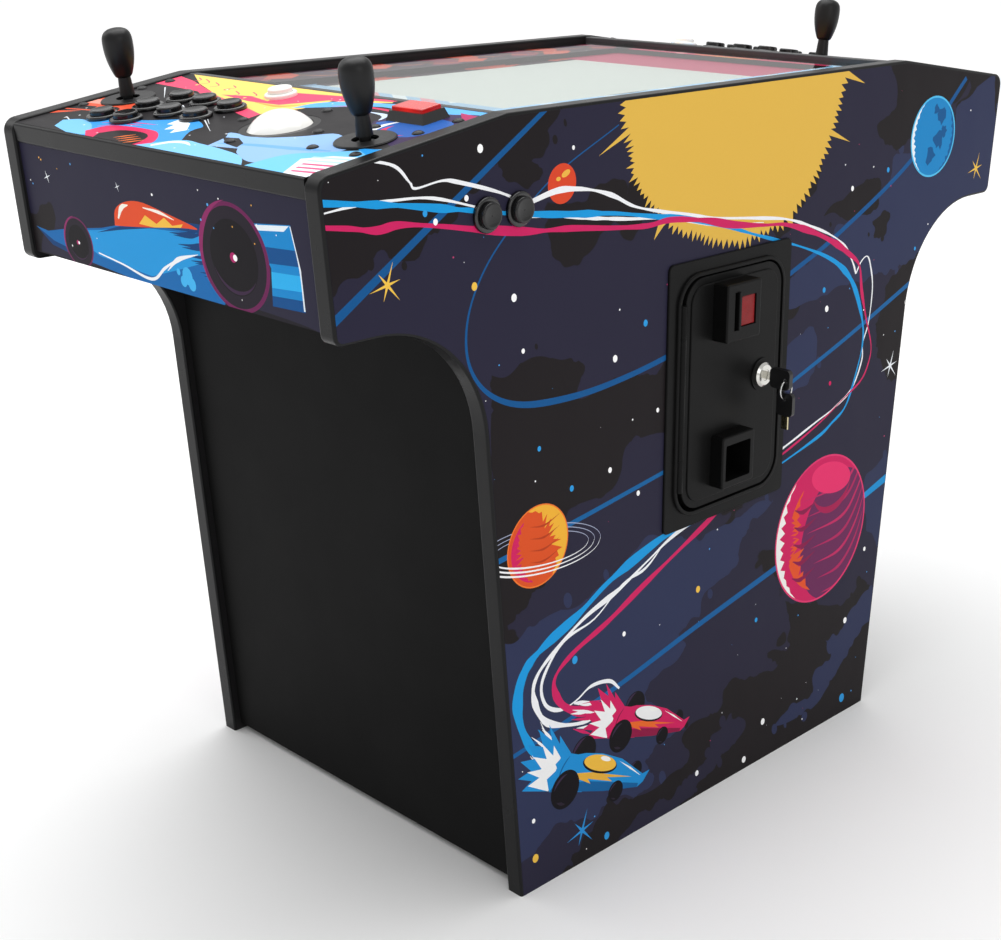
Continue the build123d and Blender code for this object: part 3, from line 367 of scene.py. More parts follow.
def blotch(points: list, depth: float, seed: int) -> np.ndarray:
    """Patch of cloud with a lobed, torn edge.

    Args:
        points: Corners of the patch, in order.
        depth: How far its lobes stand out.
        seed: Seed of the lobes.

    Returns:
        The outline.
    """
    line = smooth([*points, points[0]], 4)
    ends = np.vstack([line, line[:1]])
    steps = np.concatenate([[0], np.cumsum(np.linalg.norm(np.diff(ends, axis=0), axis=1))])
    even = np.arange(0, steps[-1], 3.4)
    line = np.stack([np.interp(even, steps, ends[:, k]) for k in (0, 1)], 1)
    along = np.roll(line, -1, axis=0) - np.roll(line, 1, axis=0)
    side = np.stack([along[:, 1], -along[:, 0]], 1) / (np.linalg.norm(along, axis=1)[:, None] + 1e-9)
    draw = random.Random(seed)
    out = np.zeros(len(line))
    start = 0
    while start < len(line):
        span = min(draw.choice((3, 4, 5, 6, 8, 12)), len(line) - start)
        height = depth * draw.uniform(-0.7, 1.0) * min(1.0, span / 8)
        out[start : start + span] += height * np.sin(np.linspace(0, math.pi, span))
        start += span
    return line + side * out[:, None]


def oval(
    u: float, v: float, wide: float, tall: float | None = None, tilt: float = 0.0, count: int = 48
) -> np.ndarray:
    """Circle or ellipse; wide and tall are half sizes and tilt is in degrees."""
    turn = np.linspace(0, 2 * math.pi, count, endpoint=False)
    flat = np.stack([wide * np.cos(turn), (tall or wide) * np.sin(turn)], 1)
    return flat @ rotation(tilt) + (u, v)


def rotation(degrees: float) -> np.ndarray:
    """Matrix that turns row points anticlockwise."""
    turn = math.radians(degrees)
    return np.array([[math.cos(turn), math.sin(turn)], [-math.sin(turn), math.cos(turn)]])


def crescent(u: float, v: float, radius: float, start: float, end: float, depth: float, teeth: int = 0, seed:
    int = 1) -> np.ndarray:
    """Sickle along a circle's inside edge.

    Args:
        u: Centre across.
        v: Centre up.
        radius: The circle's radius.
        start: Angle where it starts, in degrees.
        end: Angle where it ends.
        depth: Its depth at the middle.
        teeth: Number of torn points on its inner edge.
        seed: Seed of their lengths.

    Returns:
        The outline.
    """
    count = max(24, 2 * teeth)
    turn = np.radians(np.linspace(start, end, count + 1))
    draw = random.Random(seed)
    swell = np.sin(np.linspace(0, math.pi, count + 1))
    torn = np.ones(count + 1)
    if teeth:
        torn = np.array([draw.uniform(0.9, 1.5) if i % 2 else draw.uniform(0.35, 0.8) for i in range(count +
            1)])
    inner = radius - depth * swell * torn
    outer = np.stack([radius * np.cos(turn), radius * np.sin(turn)], 1)
    inside = np.stack([inner * np.cos(turn), inner * np.sin(turn)], 1)
    return np.vstack([outer, inside[::-1]]) + (u, v)


def spark(
    u: float, v: float, radius: float, points: int = 4, thin: float = 0.16, tilt: float = 0.0
) -> np.ndarray:
    """Star with long thin points."""
    turn = np.radians(np.linspace(0, 360, 2 * points, endpoint=False) + tilt)
    reach = np.where(np.arange(2 * points) % 2 == 0, radius, radius * thin)
    reach[::4] *= 0.72 if points > 4 else 1.0
    return np.stack([reach * np.cos(turn), reach * np.sin(turn)], 1) + (u, v)


class Tone(Enum):
    """Background tones of the night sky; the low alpha lets stars be scattered over them."""

    COAL = ink("1f1b1d", 0.3)
    NIGHT = ink("29273a", 0.3)
    SLATE = ink("2f3553", 0.3)


@dataclass
class Art:
    """Flat colour shapes, later ones over earlier ones, in millimetres on a panel's face."""

    shapes: list = field(default_factory=list)

    def add(self, colour: str, outline: object, inside: object = None) -> None:
        """Draw one shape, cut to another outline if one is given."""
        limit = None if inside is None else np.array(inside, float)
        self.shapes.append((ink(colour), np.array(outline, float), limit))

    def patch(self, tone: "Tone", points: list, seed: int, depth: float = 9.0) -> None:
        """Draw a cloud patch and a few stray blots near its edge."""
        edge = blotch(points, depth, seed)
        self.shapes.append((tone.value, edge, None))
        draw = random.Random(seed)
        for _ in range(len(points) // 2):
            u, v = edge[draw.randrange(len(edge))]
            size = draw.uniform(2, 6)
            blot = oval(u + draw.uniform(-16, 16), v + draw.uniform(-14, 14), size, size * draw.uniform(1.1,
                1.9), 20, 14)
            self.shapes.append((tone.value, blot, None))

    def placed(self, other: "Art", scale: float, tilt: float, u: float, v: float, flip: bool = False) -> None:
        """Add another drawing, scaled, turned and moved."""
        matrix = rotation(tilt) * scale
        mirror = np.array([-1.0 if flip else 1.0, 1.0])

        def moved(outline: np.ndarray | None) -> np.ndarray | None:
            """Outline in this drawing's place."""
            return None if outline is None else (outline * mirror) @ matrix + (u, v)

        for colour, outline, limit in other.shapes:
            self.shapes.append((colour, moved(outline), moved(limit)))


def sun(edge: list, flares: list, seed: int) -> np.ndarray:
    """Disc with a torn, flaring edge.

    Args:
        edge: Points on its edge, from left to right along the bottom.
        flares: Tips of its long flares.
        seed: Seed of the short teeth.

    Returns:
        The outline, closed along the top.
    """
    draw = random.Random(seed)
    line = smooth(edge, 9)
    along = np.gradient(line, axis=0)
    side = np.stack([along[:, 1], -along[:, 0]], 1) / (np.linalg.norm(along, axis=1)[:, None] + 1e-9)
    out = np.array([draw.uniform(4, 11) if i % 2 else draw.uniform(-3, 1) for i in range(len(line))])
    torn = line + side * out[:, None]
    for tip in flares:
        torn[np.argmin(np.linalg.norm(line - tip, axis=1))] = tip
    return torn


def striped_planet(u: float, v: float, r: float) -> Art:
    """Large banded planet, lit from the left."""
    art = Art()
    edge = oval(u, v, r, count=72)
    art.add("e23a72", oval(u, v, r * 1.025, count=72))
    art.add("d01f5f", edge)
    art.add("6b2a58", oval(u + 0.34 * r, v - 0.16 * r, 0.78 * r, 0.92 * r, -18), edge)
    for i in range(7):
        low = -0.95 + 0.24 * i
        path = [(u + (0.05 - 0.1 * i) * r, v + low * r), (u + 0.45 * r, v + (low + 0.04) * r)]
        path += [(u + 0.8 * r, v + (low + 0.34) * r), (u + 1.02 * r, v + (low + 0.8) * r)]
        art.add("b3265f" if i % 2 else "c22a63", ribbon(path, [0.0, 0.05 * r, 0.035 * r, 0.0]), edge)
    art.add("e4552a", crescent(u + 0.1 * r, v - 0.02 * r, 0.86 * r, 128, 250, 0.26 * r, 13, 4), edge)
    art.add("d01f5f", crescent(u + 0.02 * r, v, 0.8 * r, 150, 205, 0.2 * r, 7, 9), edge)
    for i in range(5):
        height = v + (0.42 - 0.24 * i) * r
        path = [(u - 0.62 * r, height), (u - 0.42 * r, height - 0.07 * r), (u - 0.1 * r, height + 0.02 * r)]
        art.add("8a1b4c", ribbon(path, [0.01 * r, 0.07 * r, 0.0]), edge)
    art.add("e8326d", oval(u + 0.18 * r, v + 0.68 * r, 0.46 * r, 0.22 * r, -14), edge)
    art.add("a81d52", crescent(u + 0.2 * r, v + 0.62 * r, 0.44 * r, 200, 350, 0.1 * r), edge)
    art.add("f4f1ee", crescent(u, v, r, 128, 238, 0.13 * r, 12, 6))
    return art


def ringed_planet(u: float, v: float, r: float) -> Art:
    """Orange planet with thin white rings."""
    art = Art()
    edge = oval(u, v, r)
    rings = [(2.12, 0.6), (1.9, 0.5), (1.68, 0.4)]

    def ring(wide: float, tall: float, start: float, end: float) -> list:
        """Part of one ring, drawn as a tilted ellipse."""
        turn = np.linspace(start, end, 11)
        flat = np.stack([wide * r * np.cos(turn), tall * r * np.sin(turn)], 1)
        return list(flat @ rotation(-8) + (u + 0.1 * r, v - 0.12 * r))

    for wide, tall in rings:
        art.add("aab2cc", ribbon(ring(wide, tall, -0.3, 3.5), [0.3, 1.0, 0.3]))
    art.add("f07a30", oval(u, v, r * 1.035))
    art.add("dc5426", edge)
    art.add("f2b33a", crescent(u, v, r, -60, 110, 0.5 * r, 12, 3), edge)
    art.add("d22560", crescent(u - 0.04 * r, v - 0.02 * r, 0.86 * r, 120, 262, 0.3 * r, 10, 8), edge)
    for i in range(4):
        height = v + (0.55 - 0.3 * i) * r
        path = [(u - 0.3 * r, height), (u + 0.2 * r, height - 0.08 * r), (u + 0.75 * r, height + 0.08 * r)]
        art.add("b8401f", ribbon(path, [0.0, 0.06 * r, 0.0]), edge)
    for wide, tall in rings:
        art.add("f4f4f6", ribbon(ring(wide, tall, 3.1, 6.3), [0.5, 2.0, 1.2, 0.3]))
    return art


def sea_planet(u: float, v: float, r: float) -> Art:
    """Blue planet with darker land."""
    art = Art()
    edge = oval(u, v, r)
    art.add("54bfee", oval(u, v, r * 1.05))
    art.add("1c86c6", edge)
    draw = random.Random(5)
    for x, y, size in ((0.35, 0.5, 0.2), (0.1, 0.68, 0.13), (0.28, -0.1, 0.26), (-0.1, -0.5, 0.22),
        (0.5, 0.1, 0.15)):
        blob = [(math.cos(a) * size * draw.uniform(0.6, 1.3), math.sin(a) * size * draw.uniform(0.6, 1.3)) for a
            in np.linspace(0, 2 * math.pi, 13)[:-1]]
        art.add("12578f", np.array(blob) * r + (u + x * r, v + y * r), edge)
    art.add("eef6fa", crescent(u, v, r, 118, 236, 0.13 * r, 6, 2), edge)
    art.add("145f9b", crescent(u, v, r, -80, 50, 0.12 * r, 7, 3), edge)
    return art


def small_racer(body: str, shade: str, canopy: str, stripe: str) -> Art:
    """Wheeled racing craft one unit long, its nose to the right."""
    art = Art()
    for x, y, size in ((0.32, 0.2, 0.105), (0.86, 0.1, 0.06)):
        art.add("151317", oval(x, y, size, count=28))
        art.add("3b2a45", crescent(x, y, size * 0.92, 100, 200, size * 0.2))
    flame = [(0.2, 0.2), (0.06, 0.3), (0.08, 0.25), (-0.06, 0.36), (0.0, 0.27), (-0.14, 0.33), (-0.06, 0.23),
        (-0.2, 0.24), (-0.1, 0.16), (-0.22, 0.14), (-0.11, 0.09), (-0.2, 0.04), (-0.08, 0.03), (-0.14, -0.03),
        (0.08, -0.03)]
    art.add(body, flame)
    inner = [(0.12, 0.17), (0.03, 0.24), (0.05, 0.18), (-0.08, 0.25), (0.0, 0.16), (-0.12, 0.17), (-0.02, 0.1),
        (-0.14, 0.08), (-0.02, 0.05), (-0.1, 0.0), (0.09, -0.03)]
    art.add("f4f4f4", inner)
    art.add(body, [(0.16, 0.2), (0.09, 0.13), (0.12, 0.1), (0.05, 0.04), (0.1, -0.035), (0.4, -0.035),
        (0.4, 0.18)])
    hull = [(0.1, -0.035), (0.13, 0.1), (0.2, 0.18), (0.34, 0.2), (0.5, 0.2), (0.7, 0.17), (0.86, 0.11),
        (0.94, 0.08), (1.0, 0.105), (0.965, 0.03), (0.92, -0.005), (0.6, -0.03)]
    art.add(body, hull)
    art.add(shade, [(0.1, -0.035), (0.14, 0.02), (0.45, 0.03), (0.92, 0.02), (0.92, -0.005), (0.6, -0.03)],
        hull)
    art.add(stripe, [(0.16, 0.07), (0.44, 0.085), (0.84, 0.06), (0.6, 0.055), (0.66, 0.03), (0.42, 0.045),
        (0.46, 0.015), (0.3, 0.05)], hull)
    art.add(shade, ribbon([(0.21, 0.2), (0.16, 0.1), (0.15, -0.03)], [0.006, 0.012, 0.006]), hull)
    art.add("17141a", oval(0.5, 0.135, 0.165, 0.056, -5))
    art.add(canopy, oval(0.5, 0.142, 0.155, 0.049, -5))
    art.add("f6f6f2", oval(0.54, 0.168, 0.05, 0.014, -8))
    art.add("f6f6f2", ribbon([(0.68, 0.155), (0.8, 0.115), (0.92, 0.07)], [0.0, 0.012, 0.002]), hull)
    for x, y, size in ((0.24, -0.02, 0.12), (0.72, -0.03, 0.066)):
        art.add("120f14", oval(x, y, size, count=32))
        art.add("3a2c44", crescent(x, y, size * 0.8, 100, 190, size * 0.14))
        art.add("2a2230", crescent(x, y - size * 0.2, size * 0.6, 230, 300, size * 0.16))
    return art


def side_clouds(art: Art) -> None:
    """Dark and blue patches behind a side panel's artwork."""
    for tone, points in ((Tone.COAL, [(-545, 780), (-440, 800), (-335, 806), (-335, 762), (-380, 728),
        (-388, 712), (-420, 702), (-436, 682), (-480, 694), (-492, 680), (-520, 674), (-550, 640)]), (Tone.COAL,
        [(-338, 806), (-262, 806), (-272, 780), (-290, 760), (-280, 740), (-296, 728), (-312, 736),
        (-335, 750)]), (Tone.COAL, [(-345, 562), (-295, 566), (-226, 552), (-225, 516), (-165, 526),
        (-110, 516), (-80, 550), (-80, 455), (-150, 452), (-165, 425), (-185, 405), (-240, 400), (-282, 335),
        (-345, 320)]), (Tone.SLATE, [(520, 770), (446, 742), (426, 706), (386, 684), (310, 695), (300, 665),
        (255, 640), (215, 626), (140, 590), (105, 572), (112, 544), (170, 546), (222, 552), (290, 556),
        (360, 560), (392, 576), (430, 616), (545, 618)]), (Tone.SLATE, [(110, 500), (160, 515), (170, 470),
        (140, 440), (105, 455)]), (Tone.COAL, [(285, 806), (470, 800), (446, 750), (410, 735), (336, 706),
        (305, 700), (265, 730), (305, 750)]), (Tone.COAL, [(170, 640), (265, 672), (276, 640), (245, 628)]),
        (Tone.COAL, [(268, 620), (300, 628), (296, 606), (276, 596)]), (Tone.COAL, [(380, 566), (312, 546),
        (296, 510), (290, 475), (330, 415), (380, 470)]), (Tone.SLATE, [(-345, 292), (-246, 300), (-195, 302),
        (-120, 336), (-30, 316), (100, 327), (45, 296), (30, 262), (-20, 246), (-30, 220), (-66, 214),
        (-50, 195), (-86, 180), (-120, 165), (-100, 140), (-60, 106), (-80, 90), (-116, 80), (-104, 55),
        (-130, 42), (-180, 54), (-200, 44), (-256, 60), (-330, 40)]), (Tone.COAL, [(130, 190), (146, 130),
        (100, 132), (120, 110), (26, 120), (14, 95), (-50, 90), (-45, 50), (-96, 40), (-176, 46), (-200, 28),
        (-190, -5), (330, -8), (345, 96), (290, 170), (246, 150)]), (Tone.SLATE, [(345, 190), (290, 236),
        (276, 292), (310, 320), (345, 300)]), (Tone.SLATE, [(214, 116), (256, 116), (282, 140), (340, 146),
        (322, 110), (296, 104), (256, 70), (226, 45), (206, 30), (155, 28), (120, 34), (150, 46), (196, 50),
        (202, 76), (236, 86)]), (Tone.NIGHT, [(35, 82), (62, 60), (50, 44), (5, 28), (-25, 6), (-80, -5),
        (-155, -5), (-126, 18), (-70, 22), (-46, 30), (-5, 42), (0, 70)])):
        art.patch(tone, points, len(points) + len(art.shapes))


def side_art() -> Art:
    """Artwork of a side panel; across is along the cabinet and up is height above the floor."""
    art = Art()
    side_clouds(art)
    art.add("14558f", ribbon([(-535, 640), (-270, 802)], [9, 5]))
    art.add("14558f", ribbon([(-175, 775), (-260, 738), (-312, 702), (-352, 664), (-374, 622), (-374, 580),
        (-350, 546), (-305, 525), (-235, 518), (-165, 521), (-90, 531), (20, 552), (116, 585), (202, 616),
        (345, 684), (455, 770)], [1.2, 1.6, 2.2, 4, 7, 6, 6, 6, 6]))
    art.add("17619c", ribbon([(110, 453), (240, 493), (400, 548)], [5, 6]))
    art.add("1b8fd0", ribbon([(280, 279), (350, 297)], [8, 11]))
    art.add("175e9a", ribbon([(-320, 163), (-267, 170), (-160, 186), (-36, 211), (110, 238), (240, 262)], [5,
        8]))
    art.add("17619c", ribbon([(-340, 376), (-239, 387), (-94, 406), (20, 422)], [6, 4]))
    rim = [(-168, 812), (-166, 780), (-155, 752), (-152, 728), (-136, 704), (-112, 684), (-84, 662), (-50, 652),
        (-20, 640), (20, 634), (56, 638), (92, 644), (126, 664), (150, 690), (168, 716), (180, 746), (192, 775),
        (204, 812)]
    flares = [(-203, 748), (-120, 655), (112, 634), (214, 718), (238, 781)]
    art.add("e2b64e", [*sun(rim, flares, 12), (204, 830), (-168, 830)])
    art.add("d9482b", oval(-253, 728, 19))
    art.add("f0b64a", oval(-248, 737, 6, 3, 20))
    art.add("f0b64a", oval(-258, 733, 3, 2))
    for other in (sea_planet(388, 706, 46), striped_planet(196, 262, 88), ringed_planet(-283, 377, 41)):
        art.placed(other, 1, 0, 0, 0)
    trails(art)
    art.placed(small_racer("d2205f", "8e1743", "f2f2f2", "eb6a2c"), 152, -19, -190, 140)
    art.placed(small_racer("1f8fd4", "12619c", "f1bd45", "e9b13f"), 178, -22, -280, 116)
    for u, v, size, colour in ((-468, 667, 21, "f2c34e"), (492, 656, 20, "f2c34e"), (324, 436, 20, "e9edf2"),
        (-215, 38, 24, "2a8fd6")):
        art.add(colour, spark(u, v, size, 6, 0.13, 12))
    for u, v, size, colour in ((-358, 772, 4.4, "ffffff"), (-238, 760, 2.4, "f4f4f4"), (-412, 714, 3.4,
        "ffffff"), (-375, 730, 3.2, "ffffff"), (-316, 630, 4.4, "ffffff"), (-175, 544, 4.2, "ffffff"), (-304,
        577, 2.8, "ffffff"), (-108, 476, 2.8, "ffffff"), (-130, 572, 4.0, "2f9be0"), (-424, 723, 3.4, "2f9be0"),
        (-282, 476, 3.0, "2f9be0"), (-366, 649, 4.4, "f2c34e"), (224, 664, 3.4, "ffffff"), (185, 531, 4.2,
        "ffffff"), (351, 510, 4.0, "ffffff"), (295, 677, 3.4, "2f9be0"), (178, 554, 3.6, "2f9be0"), (363, 574,
        2.6, "2f9be0"), (199, 440, 3.0, "d2205f"), (-180, 429, 3.4, "ffffff"), (-136, 393, 3.2, "ffffff"),
        (-236, 424, 3.6, "2f9be0"), (-154, 242, 3.2, "ffffff"), (-229, 238, 5.0, "2f9be0"), (-33, 255, 4.4,
        "f2c34e"), (96, 48, 4.6, "ffffff"), (62, 12, 4.6, "ffffff"), (-25, 29, 3.8, "ffffff"), (257, 125, 4.4,
        "ffffff"), (291, 209, 3.2, "ffffff"), (332, 264, 4.6, "ffffff"), (259, 20, 6.4, "2f9be0"), (-176, 15,
        5.0, "2f9be0"), (75, 184, 3.2, "2f9be0"), (-285, 36, 5.4, "f2c34e"), (-288, 80, 3.0, "ffffff")):
        art.add(colour, oval(u, v, size * 0.78, size * 0.92, 15, 20))
    return art


def trails(art: Art) -> None:
    """Light trails that loop past the coin door and back to the two racers."""
    sky = "1b98dc"
    rose = "cf2462"
    pale = "f2f3f6"
    for seed, (colour, points, widths) in enumerate(((pale, [(-492, 777), (-458, 768), (-440, 751)], [2, 3,
        2.4]), (pale, [(-440, 751), (-434, 746), (-404, 749), (-383, 745), (-334, 730), (-300, 715)], [3.4, 2.4,
        3, 3, 2.6]), (pale, [(-300, 715), (-262, 722), (-236, 721), (-208, 716), (-180, 707), (-150, 693),
        (-107, 682), (-60, 672), (-15, 663), (50, 654), (100, 646), (140, 634), (184, 617), (214, 600),
        (232, 578), (240, 563)], [4, 5, 3, 4, 2.4, 4.6, 3, 3.4, 2.6, 3.6, 2.4, 3, 2]), (pale, [(240, 563),
        (250, 576), (262, 580), (270, 566), (276, 540), (272, 500), (262, 476), (262, 455), (244, 424),
        (210, 408), (176, 399), (136, 388), (100, 378), (20, 350)], [1.6, 2, 2.4, 1.6, 2, 3, 1.6, 3.4, 4]),
        (pale, [(-545, 737), (-500, 740), (-460, 739), (-414, 735), (-351, 717)], [1.6, 3, 2.6, 3.4, 2.4]),
        (pale, [(-300, 703), (-262, 700), (-230, 692), (-200, 688), (-160, 682), (-100, 674), (-22, 657),
        (60, 648)], [2.4, 4, 2, 4, 2.4, 3.4, 1]), (sky, [(-548, 748), (-500, 741), (-454, 734), (-400, 724),
        (-367, 718), (-320, 709), (-260, 700), (-210, 694), (-173, 689), (-110, 677), (-66, 669), (7, 649),
        (45, 637), (85, 625), (130, 611), (178, 593), (212, 574), (238, 548), (258, 506), (262, 478),
        (254, 448), (234, 406), (206, 390), (178, 379), (100, 362), (40, 352)], [7, 6, 6.4, 4.4, 6, 6.6, 5, 5.6,
        3.4, 4, 2.4, 6.4, 7, 4, 3, 3, 4.4, 3, 5]), (rose, [(-548, 728), (-510, 722), (-479, 716), (-452, 717),
        (-404, 709), (-360, 700), (-295, 689), (-240, 684), (-180, 676), (-130, 671), (-94, 672), (-40, 664),
        (7, 653), (60, 645), (100, 640), (150, 625), (194, 606), (222, 590), (246, 572), (254, 540), (266, 506),
        (280, 470), (276, 448), (262, 430), (230, 416), (176, 394), (100, 372), (40, 362)], [4.4, 5, 7, 4, 7.4,
        5, 5.4, 5, 5.6, 7, 4, 7, 6, 7.4, 4, 4.6, 2.4, 2, 2.4, 1.6, 3, 4]), (sky, [(40, 352), (-10, 344),
        (-56, 337), (-94, 333), (-136, 322), (-182, 307), (-225, 286), (-276, 267), (-301, 250), (-311, 222),
        (-305, 188), (-283, 150), (-262, 128)], [6, 9, 8, 11, 8, 11, 8, 15, 11, 8]), (pale, [(20, 350),
        (-70, 332), (-117, 314), (-163, 295), (-212, 281), (-255, 260), (-284, 239), (-288, 215), (-268, 182),
        (-215, 163), (-180, 168)], [3, 5, 3, 6, 3, 5, 6, 8, 4, 3.4]), (pale, [(-90, 327), (-122, 306),
        (-158, 299), (-200, 274), (-246, 264), (-276, 232), (-272, 204), (-250, 190), (-226, 192), (-204, 200),
        (-176, 196), (-160, 182)], [0.5, 3, 2, 3, 4, 5, 4, 2.4, 3, 3.6, 2]), (rose, [(40, 362), (-11, 334),
        (-69, 310), (-126, 287), (-180, 264), (-233, 246), (-259, 226), (-250, 198), (-222, 178), (-180, 165)],
        [4, 6, 5, 7, 6, 5, 8, 10, 8]))):
        art.add(colour, ribbon(points, widths, 0.4, seed + 3, 6))
    draw = random.Random(31)
    for i in range(15):
        start = (-288 + draw.uniform(-6, 12), 178 + draw.uniform(-40, 10))
        end = (start[0] + draw.uniform(14, 26), start[1] - draw.uniform(18, 34))
        art.add(pale if i % 3 else sky, ribbon([start, end], [0.4, 2.2, 0.4]))
    for i in range(14):
        start = (-236 + draw.uniform(0, 30), 186 + draw.uniform(-26, 6))
        end = (start[0] + draw.uniform(26, 44), start[1] - draw.uniform(6, 18))
        art.add(rose if i % 2 else pale, ribbon([start, end], [0.4, 4, 0.4]))


def apron_art() -> Art:
    """Racing craft along an apron; up is measured from the apron's lower edge."""
    art = Art()
    art.add("1d1a22", oval(40, 7, 190, 7))
    art.add("1d1a22", oval(-150, 2, 90, 6, -3))
    fin = [(150, 92), (206, 98), (214, 60), (214, 22), (168, 20), (172, 55)]
    art.add("1787cc", fin)
    for i in range(3):
        art.add("0d4f8c" if i % 2 == 0 else "2fb0ee", [(145, 72 - 22 * i), (220, 77 - 22 * i), (220, 63 - 22 *
            i), (145, 57 - 22 * i)], fin)
    art.add("eaf4fa", [(152, 91), (204, 97), (196, 91), (160, 87)], fin)
    art.add("eaf4fa", ribbon([(206, 97), (213, 60), (213, 23)], [2, 2.5, 2]), fin)
    hull = [(-228, 36), (-200, 20), (-160, 15), (-60, 8), (40, 5), (95, 8), (110, 45), (80, 80), (20, 77),
        (-40, 66), (-100, 52), (-165, 42), (-205, 34)]
    art.add("1469ae", hull)
    art.add("2398dc", [(-165, 40), (-100, 50), (-40, 62), (70, 70), (90, 50), (40, 34), (-20, 16), (-110, 22)],
        hull)
    art.add("0c3f74", [(-40, 66), (20, 77), (80, 80), (84, 72), (10, 68), (-60, 56), (-110, 46)], hull)
    art.add("0c3f74", [(-228, 36), (-200, 20), (-160, 15), (-158, 20), (-196, 25)], hull)
    draw = random.Random(8)
    for i in range(11):
        start = (20 + 6 * i, 66 - 4.5 * i + draw.uniform(-2, 2))
        art.add("0c3f74", ribbon([start, (start[0] + 30, start[1] + 3), (start[0] + 62, start[1] + 14)], [0.4,
            4.2, 0.4]), hull)
    art.add("f2f5f8", ribbon([(-112, 25), (-70, 20), (-22, 13), (4, 28), (34, 44)], [1.4, 2.0, 3.2, 3.0, 0.6]),
        hull)
    art.add("f2f5f8", ribbon([(8, 26), (28, 40), (62, 50)], [0.5, 5, 0.5]), hull)
    for x, y, size in ((40, 26, 8), (33, 20, 5), (46, 19, 6), (26, 28, 3)):
        art.add("45b4ee", oval(x, y, size, size * 1.1, count=14))
    canopy = [(-74, 58), (-70, 74), (-52, 84), (-25, 88), (10, 84), (66, 75), (40, 72), (-20, 64)]
    art.add("e2502a", smooth(canopy + canopy[:1], 4))
    art.add("f4c04a", [(-30, 66), (-18, 76), (0, 70), (14, 78), (26, 72), (44, 76), (38, 70), (0, 66)], canopy)
    art.add("fbf3e6", ribbon([(-66, 66), (-58, 78), (-46, 82)], [2, 6, 1]), canopy)
    art.add("fbf3e6", ribbon([(-20, 83), (6, 82), (30, 78)], [1, 3.5, 0.6]), canopy)
    for x, y, size, ring in ((-148, 30, 27, 4), (118, 56, 52, 9)):
        art.add("6a1f52", oval(x, y, size, size * 0.98, count=64))
        art.add("231d28", oval(x, y, size - ring * 0.55, count=56))
        art.add("8c2a63", crescent(x, y, size, 95, 215, ring * 0.7))
        art.add("141116", oval(x, y, size * 0.68, count=48))
        art.add("3a2540", crescent(x, y, size * 0.66, 200, 330, ring * 0.4))
        art.add("b0246a", oval(x - 1, y, size * 0.09, count=20))
        art.add("ffffff", oval(x + size * 0.04, y, size * 0.06, count=16))
    for u, v, size in ((-190, 92, 7), (-60, 98, 5), (96, 113, 0)):
        if size:
            art.add("e9edf2", spark(u, v, size, 4, 0.15, 20))
    for i in range(26):
        u = draw.uniform(-230, 230)
        v = draw.uniform(70, 113) if i % 4 else draw.uniform(8, 40)
        colour = ("ffffff", "f2b54a", "5aa6e6", "ffffff")[i % 4]
        if not -80 < u < 70 or v > 92:
            art.add(colour, oval(u, v, draw.uniform(0.6, 1.5), count=10))
    return art


